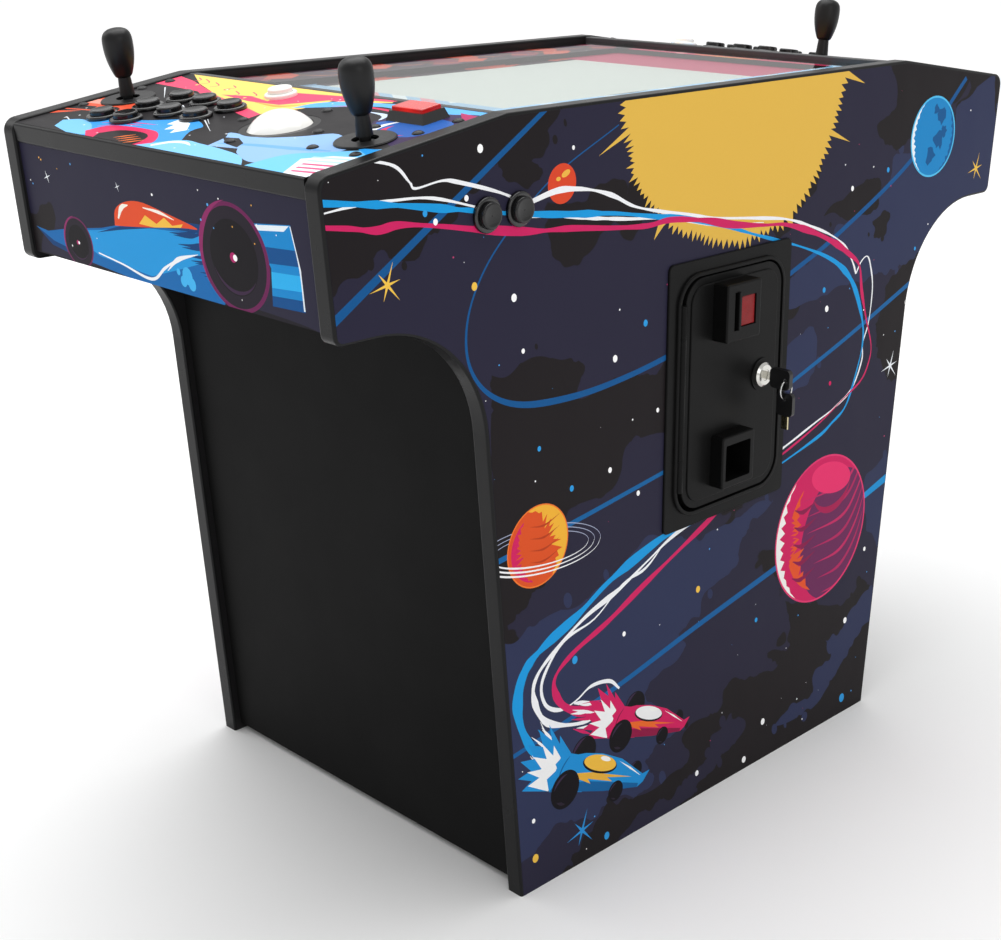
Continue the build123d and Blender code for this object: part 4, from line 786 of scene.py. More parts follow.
def deck_art() -> Art:
    """Overlay of a control deck; up is back towards the screen from the deck's bend."""
    art = Art()
    draw = random.Random(14)
    for start in ((-206, -52), (-150, -66), (-110, -96), (-84, -120), (-60, -104), (-226, -112), (-30, -126),
        (-200, -176)):
        end = (start[0] + draw.uniform(40, 70), start[1] - draw.uniform(22, 34))
        art.add("d9dde2", ribbon([start, end], [1.6, 0.4]))
    art.add("e65a3c", [(-240, -110), (-214, -104), (-168, -108), (-150, -122), (-164, -140), (-196, -146),
        (-240, -178)])
    art.add("f2a090", [(-240, -116), (-206, -112), (-184, -120), (-204, -128), (-240, -130)])
    art.add("242224", [(-240, -140), (-206, -136), (-196, -150), (-240, -166)])
    art.add("e65a3c", ribbon([(-240, -156), (-190, -148), (-150, -150)], [3, 3.4, 1]))
    art.add("3f9ae4", smooth([(-168, -196), (-150, -184), (-152, -170), (-124, -158), (-90, -150), (-46, -130),
        (-10, -142), (-6, -160), (24, -214), (-120, -214)], 5))
    art.add("74bdf2", smooth([(-190, -186), (-170, -176), (-140, -184), (-110, -206), (-124, -216),
        (-176, -204)], 5))
    art.add("d8305f", smooth([(-122, -202), (-112, -178), (-60, -172), (-32, -178), (-8, -200), (-16, -216),
        (-100, -216)], 5))
    art.add("2a2426", smooth([(-98, -202), (-84, -186), (-52, -182), (-30, -192), (-26, -216), (-88, -216)], 5))
    for i in range(4):
        start = (-52 + 9 * i, -190 - 3 * i)
        art.add("ef7a3a", ribbon([start, (start[0] - 14, start[1] - 16)], [1, 3.6, 0.6]))
    art.add("d8305f", ribbon([(-134, -176), (-96, -162), (-66, -158)], [0.8, 3, 0.8]))
    art.add("d8305f", ribbon([(-126, -186), (-104, -170), (-78, -166)], [0.8, 3, 0.8]))
    art.add("f4f8fb", [(-60, -134), (-34, -140), (-14, -158), (-22, -172), (-30, -160), (-40, -166),
        (-46, -150), (-56, -152)])
    art.add("7fc4f5", smooth([(-20, -216), (14, -184), (46, -184), (84, -188), (122, -196), (150, -216)], 5))
    art.add("f4f8fb", ribbon([(0, -208), (10, -192), (26, -188), (40, -192)], [5, 7, 5, 1]))
    art.add("8fb8ea", smooth([(58, -186), (50, -160), (40, -146), (84, -146), (120, -128), (150, -108),
        (200, -140), (176, -180), (150, -204), (112, -192), (96, -180)], 5))
    art.add("6da9e8", ribbon([(60, -176), (100, -166), (150, -158), (190, -150)], [2, 7, 9, 3]))
    art.add("242224", [(46, -160), (70, -174), (92, -178), (86, -166), (66, -156)])
    art.add("6fc3f7", smooth([(150, -218), (158, -176), (186, -156), (212, -140), (240, -130), (240, -218)], 5))
    art.add("2e9be6", [(206, -134), (240, -126), (240, -150), (224, -142)])
    art.add("eef4fb", [(206, -216), (184, -178), (206, -160), (240, -152), (240, -218)])
    for i in range(5):
        art.add("b9dcf6" if i < 2 else "dd5b86", ribbon([(190 + 4 * i, -170 - 9 * i), (240, -160 - 10 * i)], [4,
            5]))
    art.add("f9d36c", [(-230, 2), (50, 2), (42, -10), (34, -56), (8, -88), (-30, -76), (-104, -56),
        (-180, -26)])
    art.add("ee4a6e", [(-240, -10), (-200, -20), (-104, -56), (-30, -76), (8, -88), (10, -104), (-50, -86),
        (-92, -74), (-150, -50), (-240, -44)])
    art.add("ee4a6e", [(-108, -50), (-68, -42), (-30, -50), (-36, -16), (36, -6), (110, 2), (90, -22),
        (34, -24), (-4, -56), (-50, -58)])
    art.add("f2a24c", ribbon([(-40, -58), (0, -60), (24, -44)], [1, 6, 2]))
    for i, (u, v) in enumerate(((-206, -8), (-190, -10), (-164, -16), (-130, -18), (-104, -34), (-80, -30),
        (14, -70))):
        bend = draw.uniform(10, 20)
        path = [(u, v), (u + bend, v - bend * 0.5), (u + bend * 0.7, v - bend)]
        art.add("ee4a6e", ribbon(path, [1.6, 1.4, 1.2]))
        if i % 2:
            art.add("ee4a6e", oval(u + bend * 0.7, v - bend - 3, 3.6, count=18))
            art.add("f9d36c", oval(u + bend * 0.7, v - bend - 3, 2.0, count=14))
    art.add("f9d36c", ribbon([(36, -34), (70, -16), (108, -6)], [5, 9, 3]))
    art.add("5fb0ec", smooth([(20, -60), (30, -36), (60, -20), (124, -8), (150, -6), (150, -24), (110, -22),
        (70, -36)], 5))
    art.add("5fb0ec", [(120, 2), (240, 2), (240, -12), (150, -24)])
    art.add("d8305f", ribbon([(56, -38), (96, -28), (150, -34), (168, -60)], [0.8, 3.4, 6, 1]))
    art.add("c9dcf2", ribbon([(112, -40), (140, -44), (150, -62)], [1, 7, 1]))
    art.add("3a2a52", smooth([(146, -62), (160, -40), (206, -16), (240, -18), (240, -112), (206, -104),
        (168, -92)], 5))
    art.add("2b5fae", smooth([(152, -64), (166, -50), (200, -34), (232, -44), (226, -86), (196, -94),
        (166, -84)], 5))
    art.add("f4f8fb", crescent(186, -72, 22, 110, 262, 7))
    art.add("d8305f", crescent(196, -76, 20, 150, 330, 9))
    art.add("b02a62", [(206, -10), (240, -14), (240, -34), (222, -24)])
    for _ in range(30):
        art.add("e8ecf0", oval(draw.uniform(-228, 228), draw.uniform(-208, -6), draw.uniform(0.5, 1.3),
            count=10))
    return art


def surround_art() -> Art:
    """Border round the screen; up is towards the rear end."""
    art = Art()
    draw = random.Random(40)
    left = [(-240, -320), (-158, -320), (-168, -250), (-156, -140), (-170, 0), (-160, 130), (-172, 250),
        (-150, 320), (-240, 320)]
    art.add("2a1524", left)
    for i in range(13):
        v = -300 + 47 * i
        u = -176 - draw.uniform(0, 26)
        band = [(u, v), (u + 12, v + 30), (u - 8, v + 58), (u - 50, v + 66), (-240, v + 40), (-240, v + 22), (u
            - 30, v + 30)]
        art.add(("7a1c3e", "c4452e", "3c1836")[i % 3], band, left)
        art.add("f08a3a", ribbon([(u - 36, v + 8), (u - 8, v + 26), (u - 2, v + 50)], [0.6, 3, 0.6]), left)
    right = [(240, -320), (170, -320), (160, -200), (172, -60), (158, 60), (170, 180), (156, 320), (240, 320)]
    art.add("9fcff2", right)
    for i in range(7):
        v = -290 + 90 * i
        art.add("d9edfb", [(160, v), (196, v + 18), (240, v + 16), (240, v + 42), (186, v + 46)], right)
        art.add("5fb0ec", ribbon([(166, v + 54), (200, v + 60), (240, v + 56)], [1, 6, 3]), right)
    near = [(-170, -320), (-168, -286), (-100, -272), (-30, -262), (60, -270), (130, -262), (172, -280),
        (172, -320)]
    art.add("9fcff2", near)
    for i in range(5):
        u = 10 + 22 * i
        art.add("f6eef2" if i % 2 else "e88aa4", [(u, -320), (u + 14, -320), (u + 34, -262), (u + 20, -262)],
            near)
    art.add("d9edfb", ribbon([(-160, -300), (-90, -288), (-20, -276)], [2, 9, 2]), near)
    far = [(-150, 320), (-150, 290), (-60, 276), (40, 284), (120, 272), (160, 290), (160, 320)]
    art.add("c92458", far)
    art.add("e2562e", [(-60, 320), (-20, 290), (30, 286), (70, 320)], far)
    art.add("f0b04a", ribbon([(-20, 306), (20, 300), (60, 306)], [1, 6, 1]), far)
    for _ in range(60):
        u = draw.choice((-1, 1)) * draw.uniform(172, 234)
        art.add(draw.choice(("ffffff", "f2c34e", "5ab0ee")), oval(u, draw.uniform(-308, 308), draw.uniform(0.6,
            1.4), count=10))
    return art


# ------------------------------------------------------------------ printed sheets
@dataclass(frozen=True)
class Face:
    """A flat face of the cabinet, with its own across and up directions."""

    node: str
    origin: Vector
    across: Vector
    up: Vector

    @property
    def out(self) -> Vector:
        """Direction that the face looks in."""
        return self.across.cross(self.up)

    def flat(self, points: np.ndarray) -> np.ndarray:
        """Millimetres on the face for points in metres."""
        away = points - np.array(self.origin)
        return np.stack([away @ np.array(self.across), away @ np.array(self.up)], 1) / MM

    def solid(self, flat: np.ndarray, height: float) -> np.ndarray:
        """Points in metres, a height above the face's origin."""
        across = np.outer(flat[:, 0] * MM, self.across)
        up = np.outer(flat[:, 1] * MM, self.up)
        return across + up + np.array(self.origin) + height * np.array(self.out)

    def loops(self) -> tuple[list, float]:
        """Outlines of the node's outermost face in this direction.

        Returns:
            The outlines in millimetres, the outer one first, and the face's height above the origin.
        """
        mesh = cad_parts[self.node].data
        mesh.calc_loop_triangles()
        points = np.array([v.co for v in mesh.vertices])
        corners = np.array([t.vertices for t in mesh.loop_triangles])
        out = np.array(self.out)
        heights = (points - np.array(self.origin)) @ out
        a, b, c = (points[corners[:, i]] for i in range(3))
        normals = np.cross(b - a, c - a)
        facing = normals @ out > 0.999 * np.linalg.norm(normals, axis=1)
        level = heights[corners].max(1)
        top = level[facing].max()
        chosen = corners[facing & (level > top - 5e-5)]
        keys = [tuple(np.round(p / 2e-6).astype(int)) for p in points]
        names = {key: i for i, key in enumerate(dict.fromkeys(keys))}
        place = {names[key]: points[i] for i, key in enumerate(keys)}
        edges = {}
        for triangle in chosen:
            ids = [names[keys[i]] for i in triangle]
            for start, end in zip(ids, ids[1:] + ids[:1]):
                if edges.get(end) and start in edges[end]:
                    edges[end].remove(start)
                else:
                    edges.setdefault(start, []).append(end)
        outlines = []
        while any(edges.values()):
            start = next(key for key, ends in edges.items() if ends)
            loop = [start]
            while edges.get(loop[-1]):
                loop.append(edges[loop[-1]].pop())
            outlines.append(self.flat(np.array([place[i] for i in loop[:-1]])))
        outlines.sort(key=lambda line: -np.ptp(line[:, 0]) * np.ptp(line[:, 1]))
        return outlines, top


def covered(points: np.ndarray, outline: np.ndarray) -> np.ndarray:
    """Which points lie inside an outline."""
    hit = np.zeros(len(points), bool)
    low = outline.min(0)
    high = outline.max(0)
    near = np.flatnonzero(((points >= low) & (points <= high)).all(1))
    x, y = points[near].T
    x0, y0 = outline.T[:, :, None]
    x1, y1 = np.roll(outline, -1, axis=0).T[:, :, None]
    with np.errstate(divide="ignore", invalid="ignore"):
        cross = ((y0 > y) != (y1 > y)) & (x < (x1 - x0) * (y - y0) / (y1 - y0) + x0)
    hit[near] = cross.sum(0) % 2 == 1
    return hit


@dataclass
class PrintedSheet:
    """Laminate sheet cut to a panel's face, with its artwork in the faces' colours."""

    name: str
    face: Face
    art: Art
    finish: bpy.types.Material
    slot: str
    thickness: float = 0.2 * MM
    lift: float = 0.02 * MM

    def build(self) -> bpy.types.Object:
        """Cut, colour and thicken the sheet.

        Returns:
            The sheet, riding on the cabinet.
        """
        cuts, level = self.face.loops()
        points, triangles = self.triangulate(cuts)
        centres = points[triangles].mean(1)
        keep = covered(centres, cuts[0])
        for hole in cuts[1:]:
            keep &= ~covered(centres, hole)
        triangles = triangles[keep]
        centres = centres[keep]
        colours = np.zeros((len(triangles), 4), np.float32)
        for colour, outline, limit in self.art.shapes:
            inside = covered(centres, outline)
            if limit is not None:
                inside &= covered(centres, limit)
            colours[inside] = colour
        return self.thicken(points, triangles, colours, level + self.lift)

    def triangulate(self, cuts: list) -> tuple[np.ndarray, np.ndarray]:
        """One flat triangle mesh that has every outline among its edges."""
        points = []
        edges = []
        outlines = list(cuts)
        for _, outline, limit in self.art.shapes:
            outlines.append(outline)
            if limit is not None:
                outlines.append(limit)
        for outline in outlines:
            first = len(points)
            points += [Vector(point) for point in outline]
            edges += [(first + i, first + (i + 1) % len(outline)) for i in range(len(outline))]
        made = delaunay_2d_cdt(points, edges, [], 0, 1e-3)
        return np.array([tuple(p) for p in made[0]]), np.array([tuple(f) for f in made[2]])

    def thicken(
        self, points: np.ndarray, triangles: np.ndarray, colours: np.ndarray, low: float
    ) -> bpy.types.Object:
        """Closed sheet from its coloured top triangles."""
        used, flat = np.unique(triangles, return_inverse=True)
        flat = flat.reshape(-1, 3)
        a, b, c = (points[used][flat[:, i]] for i in range(3))
        turned = (b - a)[:, 0] * (c - a)[:, 1] - (b - a)[:, 1] * (c - a)[:, 0] < 0
        flat[turned] = flat[turned][:, ::-1]
        count = len(used)
        top = self.face.solid(points[used], low + self.thickness)
        bottom = self.face.solid(points[used], low)
        sides = set()
        for triangle in flat.tolist():
            for start, end in zip(triangle, triangle[1:] + triangle[:1]):
                if (end, start) in sides:
                    sides.remove((end, start))
                else:
                    sides.add((start, end))
        walls = [(end, start, start + count, end + count) for start, end in sorted(sides)]
        faces = flat.tolist() + (flat[:, ::-1] + count).tolist() + walls
        sheet = make_piece(self.name, np.vstack([top, bottom]), faces, self.finish, CABINET)
        every = np.vstack([colours, colours, np.zeros((len(walls), 4), np.float32)])
        attribute = sheet.data.attributes.new("ink", "FLOAT_COLOR", "FACE")
        attribute.data.foreach_set("color", every.astype(np.float32).ravel())
        return sheet


def make_piece(name: str, points: object, faces: list, material: bpy.types.Material, body: str) -> bpy.types.Object:
    """Mesh object at the origin that rides on a body.

    Args:
        name: Its name.
        points: Vertices in metres.
        faces: Vertex numbers of each face.
        material: Its finish.
        body: The body that it moves with.

    Returns:
        The object.
    """
    mesh = bpy.data.meshes.new(name)
    mesh.from_pydata([tuple(p) for p in points], [], faces)
    mesh.materials.append(material)
    mesh.update()
    piece = bpy.data.objects.new(name, mesh)
    bpy.context.scene.collection.objects.link(piece)
    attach(piece, body)
    log.info("made %s: %d faces", name, len(mesh.polygons))
    return piece


def dress(node: str, material: bpy.types.Material) -> None:
    """Give a CAD node its finish."""
    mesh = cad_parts[node].data
    if not mesh.materials:
        mesh.materials.append(material)
    for i in range(len(mesh.materials)):
        mesh.materials[i] = material


def dress_all(finish: Moulded, *nodes: str) -> None:
    """Give several CAD nodes one moulded finish."""
    material = finish.material()
    for node in nodes:
        dress(node, material)


# ------------------------------------------------------------------ stars
@dataclass
class StarField:
    """Tiny printed stars, scattered over the unprinted ground of a sheet."""

    name: str
    sheet: bpy.types.Object
    colour: str
    density: float
    seed: int
    largest: float = 1.1 * MM

    def build(self) -> bpy.types.Object:
        """Scatter the stars.

        Returns:
            The stars as one plain mesh.
        """
        tree = bpy.data.node_groups.new(self.name, "GeometryNodeTree")
        panel = tree.interface
        panel.new_socket("Sheet", in_out="INPUT", socket_type="NodeSocketGeometry")
        sizes = {"Density": self.density, "Seed": self.seed, "Largest": self.largest}
        kinds = {"Density": "NodeSocketFloat", "Seed": "NodeSocketInt", "Largest": "NodeSocketFloat"}
        sockets = {key: panel.new_socket(key, in_out="INPUT", socket_type=kind) for key, kind in kinds.items()}
        panel.new_socket("Stars", in_out="OUTPUT", socket_type="NodeSocketGeometry")
        self.wire(Nodes(tree))
        host = bpy.data.objects.new(self.name + "_host", self.sheet.data)
        bpy.context.scene.collection.objects.link(host)
        modifier = host.modifiers.new("scatter", "NODES")
        modifier.node_group = tree
        for key, socket in sockets.items():
            modifier[socket.identifier] = sizes[key]
        seen = host.evaluated_get(bpy.context.evaluated_depsgraph_get())
        mesh = bpy.data.meshes.new_from_object(seen)
        bpy.data.objects.remove(host)
        mesh.name = self.name
        stars = bpy.data.objects.new(self.name, mesh)
        bpy.context.scene.collection.objects.link(stars)
        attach(stars, CABINET)
        log.info("made %s: %d faces", self.name, len(mesh.polygons))
        return stars

    def wire(self, nodes: Nodes) -> None:
        """Lay the tree's nodes."""
        given = nodes.node("NodeGroupInput").outputs
        printed = nodes.node("GeometryNodeInputNamedAttribute", {"data_type": "FLOAT_COLOR"}, {"Name": "ink"})
        colour = next(socket for socket in printed.outputs if socket.enabled)
        split = nodes.node("FunctionNodeSeparateColor", values={"Color": colour})
        normal = nodes.node("GeometryNodeInputNormal").outputs[0]
        outward = self.sheet.data.polygons[0].normal.copy()
        facing = nodes.node("ShaderNodeVectorMath", {"operation": "DOT_PRODUCT"}, {0: normal, 1: outward})
        bare = Signal(nodes, split.outputs["Alpha"]) < 0.5
        front = Signal(nodes, facing.outputs["Value"]) > 0.9
        values = {"Mesh": given["Sheet"], "Selection": bare * front, "Density": given["Density"], "Seed":
            given["Seed"]}
        scatter = nodes.node("GeometryNodeDistributePointsOnFaces", values=values).outputs
        star = nodes.node("GeometryNodeMeshCylinder", values={"Vertices": 10, "Radius": 1.0, "Depth": 0.05})
        size = nodes.node("FunctionNodeRandomValue", {"data_type": "FLOAT"}, {2: 0.3 * MM, 3: given["Largest"]})
        values = {"Points": scatter["Points"], "Instance": star.outputs["Mesh"], "Rotation":
            scatter["Rotation"], "Scale": size.outputs[1]}
        placed = nodes.node("GeometryNodeInstanceOnPoints", values=values)
        real = nodes.node("GeometryNodeRealizeInstances", values={0: placed.outputs[0]})
        finish = Moulded(self.name, self.colour, 0.4, 1700, 0.00001, 0.05).material()
        dressed = nodes.node("GeometryNodeSetMaterial", values={"Geometry": real.outputs[0], "Material":
            finish})
        nodes.node("NodeGroupOutput", values={0: dressed.outputs[0]})


# ------------------------------------------------------------------ sub-assemblies
@dataclass
class Shell:
    """Side panels, leg panels, aprons, trims and their printed sheets."""

    end_lean: float = 14.0
    end_depth: float = 145.0

    def build(self) -> None:
        """Make the sheets and dress the boards."""
        panels = (f"{end}_{kind}_panel" for kind in ("leg", "control") for end in ("front", "rear"))
        dress_all(Moulded("black_board", "0b0b0b", 0.5, 900, 0.00005, 0.06, shine=0.04), *panels,
            "inner_boards")
        laminated = ("side_panel_left", "side_panel_right", "aprons")
        dress_all(Moulded("inner_laminate", "141314", 0.42, 1300, 0.00003, 0.1), *laminated)
        dress_all(Moulded("edge_trim_vinyl", "0d0d0e", 0.3, 1600, 0.000015, 0.1, shine=0.16), "edge_trim")
        self.sheets()

    def sheets(self) -> None:
        """Printed sheets of both sides and both aprons."""
        laminate = Print("side_laminate", Ground.CLOUDS).material()
        along = Vector((0, 1, 0))
        up = Vector((0, 0, 1))
        art = side_art()
        for side, name in ((1, "right"), (-1, "left")):
            face = Face(f"side_panel_{name}", Vector((0, 0, 0)), side * along, up)
            sheet = PrintedSheet(f"{name}_side_sheet", face, art, laminate, "laminate").build()
            for colour, code, density, seed in (("white", "f4f6fa", 90, 3), ("blue", "3b96dd", 40, 8), ("rose",
                "b02a62", 45, 21)):
                StarField(f"{name}_side_{colour}_stars", sheet, code, density, seed + side).build()
        lean = math.atan2(self.end_lean, self.end_depth)
        low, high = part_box("aprons")
        for side, name in ((1, "front"), (-1, "rear")):
            rise = Vector((0, -side * math.sin(lean), math.cos(lean)))
            face = Face("aprons", Vector((0, (low if side > 0 else high).y, 0.622)), Vector((side, 0, 0)), rise)
            PrintedSheet(f"{name}_apron_sheet", face, apron_art(), laminate, "laminate").build()


@dataclass
class Decks:
    """Control deck overlays and the fasteners through them."""

    fall: float = 33.0
    run: float = 216.0

    def build(self) -> None:
        """Make both overlays and dress the hardware."""
        overlay = Print("deck_overlay", Ground.PLAIN, "262426", roughness=0.34).material()
        slope = math.atan2(self.fall, self.run)
        for side, name in ((1, "front"), (-1, "rear")):
            node = f"{name}_control_panel"
            low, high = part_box(node)
            bend = Vector((0, high.y if side > 0 else low.y, high.z))
            up = Vector((0, side * math.cos(slope), math.sin(slope)))
            face = Face(node, bend, Vector((side, 0, 0)), up)
            PrintedSheet(f"{name}_deck_overlay", face, deck_art(), overlay, "deck_print").build()
        dress_all(Moulded("black_bolts", "0d0d0e", 0.34, 2400, 0.00002, 0.08), "panel_fasteners")


@dataclass
class Controls:
    """Buttons, joysticks and trackball."""

    def build(self) -> None:
        """Dress every control."""
        black = Moulded("button_plastic", "0b0b0c", 0.2, 1900, 0.000012, 0.08, coat=0.3)
        stick = Moulded("stick_plastic", "0c0c0d", 0.38, 2100, 0.00003, 0.1)
        white = Moulded("start_plastic", "f1f1ec", 0.25, 1900, 0.00001, 0.06, spread=0.0)
        ends = ("front", "rear")
        dress_all(black, *(f"{end}_button_{i}" for end in ends for i in range(1, 9)))
        dress_all(black, *(f"side_button_{side}_{i}" for side in ("left", "right") for i in (1, 2)))
        dress_all(white, *(f"{end}_start_button" for end in ends))
        dress("button_bodies", self.housings())
        dress_all(stick, *(f"joystick_{i}_{part}" for i in (1, 2, 3) for part in ("stick", "pivot")))
        dress_all(Moulded("washer_plastic", "111112", 0.36, 1500, 0.00003, 0.14), "joystick_dust_washers")
        dress_all(Moulded("zinc_black", "151516", 0.45, 1500, 0.00004, 0.1, metal=0.4), "joystick_bases")
        dress_all(Moulded("switch_plastic", "1a1a1c", 0.45, 1500), "button_switches")
        ball = Moulded("phenolic_white", "f4f3ee", 0.1, 1200, 0.000004, 0.05, coat=0.6, spread=0.0)
        dress_all(ball, "trackball")
        dress_all(Moulded("trackball_black", "101011", 0.3, 1800, 0.00002, 0.08), "trackball_housing")
        dress_all(Moulded("roller_steel", "b9bbbd", 0.25, 1500, 0.00002, 0.08, metal=1.0), "trackball_roller")
        dress("lit_button", self.glow())

    def housings(self) -> bpy.types.Material:
        """Black housings, with those of the two start buttons white."""
        shader = Shader("button_housings")
        masks = [shader.within(sum(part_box(f"{end}_start_button"), Vector()) / 2, 0.034) for end in ("front",
            "rear")]
        fine = shader.noise(1900.0, 3.0, 0.6)
        values = {
            "Base Color": shader.mixed(masks[0] + masks[1], ink("0b0b0c"), ink("efefea")),
            "Roughness": shader.noise(40.0, 4.0) * 0.1 + 0.17,
            "Normal": shader.bump(fine, 0.000012),
            "Coat Weight": 0.3,
        }
        return shader.principled(values)

    def glow(self) -> bpy.types.Material:
        """Red translucent cap, a lamp behind its middle."""
        shader = Shader("red_lens")
        low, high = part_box("lit_button")
        middle = (low + high) / 2
        x, y, z = shader.axes()
        centre = 1 - (abs(x - middle.x) * 40).ramp(0.0, 1.0)
        ribs = shader.maths("SINE", x * 2600.0)
        values = {
            "Base Color": shader.mixed(centre, ink("b3100f"), ink("e31a14")),
            "Emission Color": shader.mixed(centre, ink("7a0505"), ink("ff2015")),
            "Emission Strength": 0.35,
            "Roughness": shader.noise(60.0) * 0.08 + 0.12,
            "Normal": shader.bump(ribs, 0.00002),
            "Coat Weight": 0.6,
        }
        return shader.principled(values)


@dataclass
class ScreenTop:
    """Glass, its rails, the printed surround and the screen under it."""

    def build(self) -> None:
        """Make the surround's print and dress the rest."""
        low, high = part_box("monitor_bezel")
        face = Face("monitor_bezel", Vector((0, 0, high.z)), Vector((1, 0, 0)), Vector((0, 1, 0)))
        printed = Print("surround_print", Ground.PLAIN, "100f10", roughness=0.3).material()
        PrintedSheet("screen_surround_sheet", face, surround_art(), printed, "deck_print").build()
        dress_all(Moulded("surround_card", "111112", 0.5, 900), "monitor_bezel")
        dress("glass", self.pane())
        dress("monitor", self.picture(low.z))
        dress_all(Moulded("rail_satin", "3a3a3b", 0.4, 700, 0.00003, 0.1), "screen_supports")

    def pane(self) -> bpy.types.Material:
        """Clear glass: gloss by angle over a see-through body."""
        shader = Shader("clear_glass")
        clear = shader.node("ShaderNodeBsdfTransparent", values={"Color": (0.97, 0.985, 0.975, 1)})
        film = shader.noise(30.0, 4.0, 0.6, shader.stretched((1, 0.4, 1)))
        gloss = shader.node("ShaderNodeBsdfGlossy", values={"Roughness": 0.04})
        angle = shader.node("ShaderNodeFresnel", values={"IOR": 1.5})
        inside = shader.node("ShaderNodeNewGeometry").outputs["Backfacing"]
        factor = (Signal(shader, angle.outputs[0]) * 0.7 + film * 0.02) * (1 - Signal(shader, inside))
        both = shader.node("ShaderNodeMixShader", values={0: factor, 1: clear.outputs[0], 2: gloss.outputs[0]})
        return shader.output(both.outputs[0])

    def picture(self, level: float) -> bpy.types.Material:
        """Pale matt screen with a printed mask round its picture, inside a black monitor case."""
        shader = Shader("screen_panel")
        x, y, z = shader.axes()
        lit = (z > level - 0.0035) * (abs(x) < 0.1685) * (abs(y) < 0.2995)
        grid = shader.maths("SINE", x * 12000.0) * shader.maths("SINE", y * 12000.0)
        fine = shader.noise(900.0, 2.0)
        shown = (abs(x) < 0.15) * (abs(y) < 0.2025)
        slant = y + x * 0.75
        bars = slant.striped(30.0) * (x > -0.09) * (x < 0.06)
        rosy = shader.mixed(slant.striped(15.0), ink("d3dade"), ink("d08a99"))
        pale = shader.mixed(bars * (y < 0), ink("8fb3d0"), rosy)
        flecks = shader.noise(24.0, 3.0, 0.5, shader.stretched((1, 0.4, 1))) > 0.56
        dusk = shader.mixed(flecks, ink("2a1524"), ink("b8432e"))
        mask = shader.mixed((x < -0.15) * (y > -0.2025), pale, dusk)
        mask = shader.mixed(y > 0.2025, mask, ink("b0305a"))
        colour = shader.mixed(shown, mask, ink("c3c7c4"))
        values = {
            "Base Color": shader.mixed(lit, ink("121213"), colour),
            "Emission Color": shader.mixed(lit, ink("000000"), colour),
            "Emission Strength": 0.14,
            "Roughness": fine * 0.1 + 0.42,
            "Normal": shader.bump(grid * 0.2 + fine, 0.00001),
        }
        return shader.principled(values)


@dataclass
class CoinDoor:
    """Coin door, its frame, fittings, lock and keys."""

    lock: tuple[float, float] = (0.057, 0.482)
    collar: float = 0.0142
    bow_depth: float = 0.0262
    spare_ring: float = 0.0139
    spare_blade: float = 0.015

    def build(self) -> None:
        """Dress every piece of the door."""
        powder = Moulded("powder_coat", "0b0b0b", 0.36, 620, 0.00006, 0.1, shine=0.07)
        dress_all(powder, "coin_door_frame", "coin_door")
        dress_all(Moulded("flap_black", "0c0c0d", 0.4, 1500), "coin_return_flap")
        dress("coin_fittings", self.fittings())
        dress("coin_reject_button", self.reject())
        dress("lock_plug", self.key())
        dress("spare_keys", self.spare())

    def fittings(self) -> bpy.types.Material:
        """Black mouldings with a chromed lock collar."""
        shader = Shader("fittings_black")
        x, y, z = shader.axes()
        across = y - self.lock[0]
        up = z - self.lock[1]
        chrome = (across * across + up * up) < self.collar**2
        fine = shader.noise(1300.0, 3.0, 0.6)
        values = {
            "Base Color": shader.mixed(chrome, ink("0b0b0b"), ink("d3d2cd")),
            "Metallic": chrome,
            "Roughness": fine * 0.1 + 0.33 - chrome * 0.2,
            "Normal": shader.bump(fine, 0.00002),
            "Specular IOR Level": 0.1,
        }
        return shader.principled(values)

    def reject(self) -> bpy.types.Material:
        """Dark red ribbed lens."""
        shader = Shader("reject_lens")
        x, y, z = shader.axes()
        prisms = shader.maths("SINE", y * 3600.0) + shader.maths("SINE", z * 3600.0)
        values = {
            "Base Color": shader.mixed(shader.noise(60.0, 3.0), ink("6a0c10"), ink("951419")),
            "Roughness": shader.noise(300.0) * 0.1 + 0.15,
            "Normal": shader.bump(prisms, 0.00004),
            "Specular IOR Level": 0.12,
            "Coat Weight": 0.06,
        }
        return shader.principled(values)

    def key(self) -> bpy.types.Material:
        """Nickel plug and blade with a black plastic bow further out."""
        shader = Shader("lock_and_key")
        bow = shader.axes()[0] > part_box("lock_plug")[1].x - self.bow_depth
        return self.metal(shader, bow, ink("c9c7c0"), 0.14, 0.18)

    def spare(self) -> bpy.types.Material:
        """Steel ring, black bow and pale brass blade."""
        shader = Shader("ring_and_spare")
        _, y, z = shader.axes()
        low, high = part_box("spare_keys")
        blade = z < low.z + self.spare_blade
        bow = (z < high.z - self.spare_ring) * (1 - blade) * (abs(y - self.lock[0]) < 0.0027)
        return self.metal(shader, bow, shader.mixed(blade, ink("c9cac9"), ink("c8bd97")), 0.16, 0.16)

    def metal(
        self, shader: Shader, bow: Signal, colour: object, gloss: float, duller: float
    ) -> bpy.types.Material:
        """Bright metal with a black plastic bow.

        Args:
            shader: The material to finish.
            bow: 1 on the bow.
            colour: Colour of the metal.
            gloss: Roughness of the metal.
            duller: How much rougher the bow is.

        Returns:
            The material.
        """
        fine = shader.noise(1500.0, 3.0, 0.6)
        values = {
            "Base Color": shader.mixed(bow, colour, ink("0c0c0d")),
            "Metallic": 1 - bow,
            "Roughness": fine * 0.12 + gloss + bow * duller,
            "Normal": shader.bump(fine, 0.00002),
        }
        return shader.principled(values)


@dataclass
class Workings:
    """Computer, speakers and power inlet."""

    def build(self) -> None:
        """Dress the inside pieces."""
        dress_all(Moulded("case_paint", "1b1c1e", 0.42, 900, 0.00005, 0.1, metal=0.3), "computer")
        dress_all(Moulded("speaker_black", "131314", 0.5, 1200, 0.00004), "speakers")
        dress_all(Moulded("inlet_black", "0e0e0f", 0.35, 1500), "power_inlet")


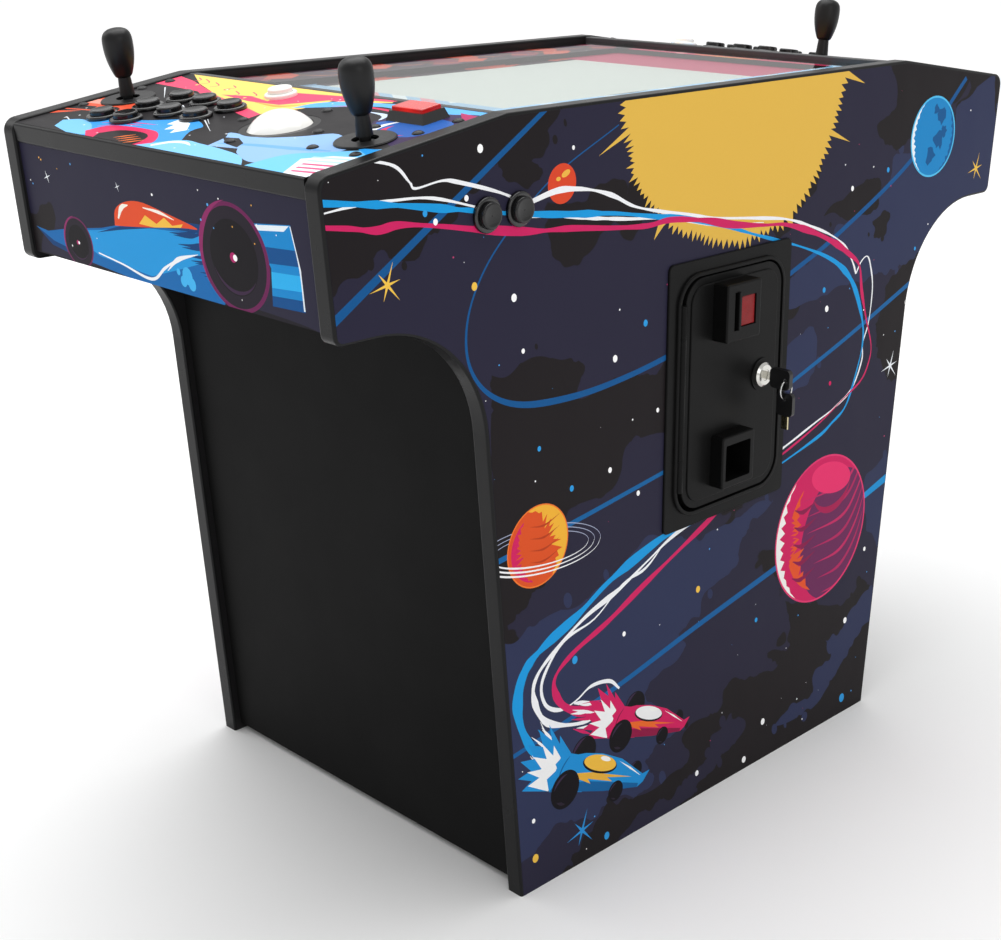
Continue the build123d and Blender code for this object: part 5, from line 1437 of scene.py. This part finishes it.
@dataclass
class Studio:
    """Pale floor, soft lights and the camera."""

    eye: tuple[float, float, float] = (1.315, -1.374, 0.994)
    turn: float = 45.5
    tip: float = 74.9
    roll: float = -0.13
    lens: float = 60.44
    shift: float = -0.130

    def build(self) -> None:
        """Set the scene round the cabinet."""
        self.floor()
        self.camera()
        self.lights()

    def floor(self) -> None:
        """Wide pale floor with painted light: it glows faintly near the cabinet and white far away."""
        shader = Shader("pale_floor")
        tone = shader.noise(1.3, 4.0, 0.5)
        x, y, z = shader.axes()
        far = (x * x + y * y).ramp(0.8, 9.0)
        values = {
            "Base Color": shader.mixed(tone, ink("f6f6f6"), ink("f0f0f0")),
            "Roughness": shader.noise(30.0) * 0.1 + 0.6,
            # painted light: the floor's emission rises with distance from the cabinet, brightening the far floor to
            # white and keeping the contact shadow near it
            "Emission Color": shader.mixed(far, ink("1c1c1c"), ink("ffffff")),
            "Emission Strength": 0.42,
        }
        mesh = bpy.data.meshes.new("floor")
        size = 45.0
        mesh.from_pydata([(-size, -size, 0), (size, -size, 0), (size, size, 0), (-size, size, 0)], [], [(0, 1,
            2, 3)])
        mesh.materials.append(shader.principled(values))
        floor = bpy.data.objects.new("floor", mesh)
        bpy.context.scene.collection.objects.link(floor)

    def camera(self) -> None:
        """Camera at the front right corner, a little above the top."""
        data = bpy.data.cameras.new("camera")
        data.lens = self.lens
        data.sensor_width = 36.0
        data.shift_y = self.shift
        camera = bpy.data.objects.new("camera", data)
        angles = Matrix.Rotation(math.radians(self.turn), 4, "Z") @ Matrix.Rotation(math.radians(self.tip), 4,
            "X")
        angles = angles @ Matrix.Rotation(math.radians(self.roll), 4, "Z")
        camera.matrix_world = Matrix.Translation(self.eye) @ angles
        bpy.context.scene.collection.objects.link(camera)
        bpy.context.scene.camera = camera

    def lights(self) -> None:
        """White room and three soft boxes."""
        world = bpy.data.worlds.new("room")
        world.use_nodes = True
        world.node_tree.nodes["Background"].inputs[0].default_value = (1.0, 1.0, 1.0, 1.0)
        world.node_tree.nodes["Background"].inputs[1].default_value = 0.68
        bpy.context.scene.world = world
        aim = Vector((0, 0, 0.5))
        for name, place, size, power in (("top_box", (-0.5, 0.1, 3.2), 3.2, 95.0), ("left_box",
            (-2.8, -1.4, 2.4), 1.6, 12.0), ("right_box", (3.0, -1.0, 1.8), 1.6, 10.0)):
            data = bpy.data.lights.new(name, "AREA")
            data.shape = "SQUARE"
            data.size = size
            data.energy = power
            lamp = bpy.data.objects.new(name, data)
            lamp.location = place
            lamp.rotation_euler = (aim - Vector(place)).to_track_quat("-Z", "Y").to_euler()
            bpy.context.scene.collection.objects.link(lamp)
        bpy.context.scene.view_settings.view_transform = "Standard"


def main() -> None:
    """Build the studio and every sub-assembly in order."""
    logging.basicConfig(level=logging.INFO, format="%(message)s")
    for assembly in (Studio(), Shell(), Decks(), Controls(), ScreenTop(), CoinDoor(), Workings()):
        assembly.build()
        log.info("built %s", type(assembly).__name__)


if __name__ == "__main__":
    main()
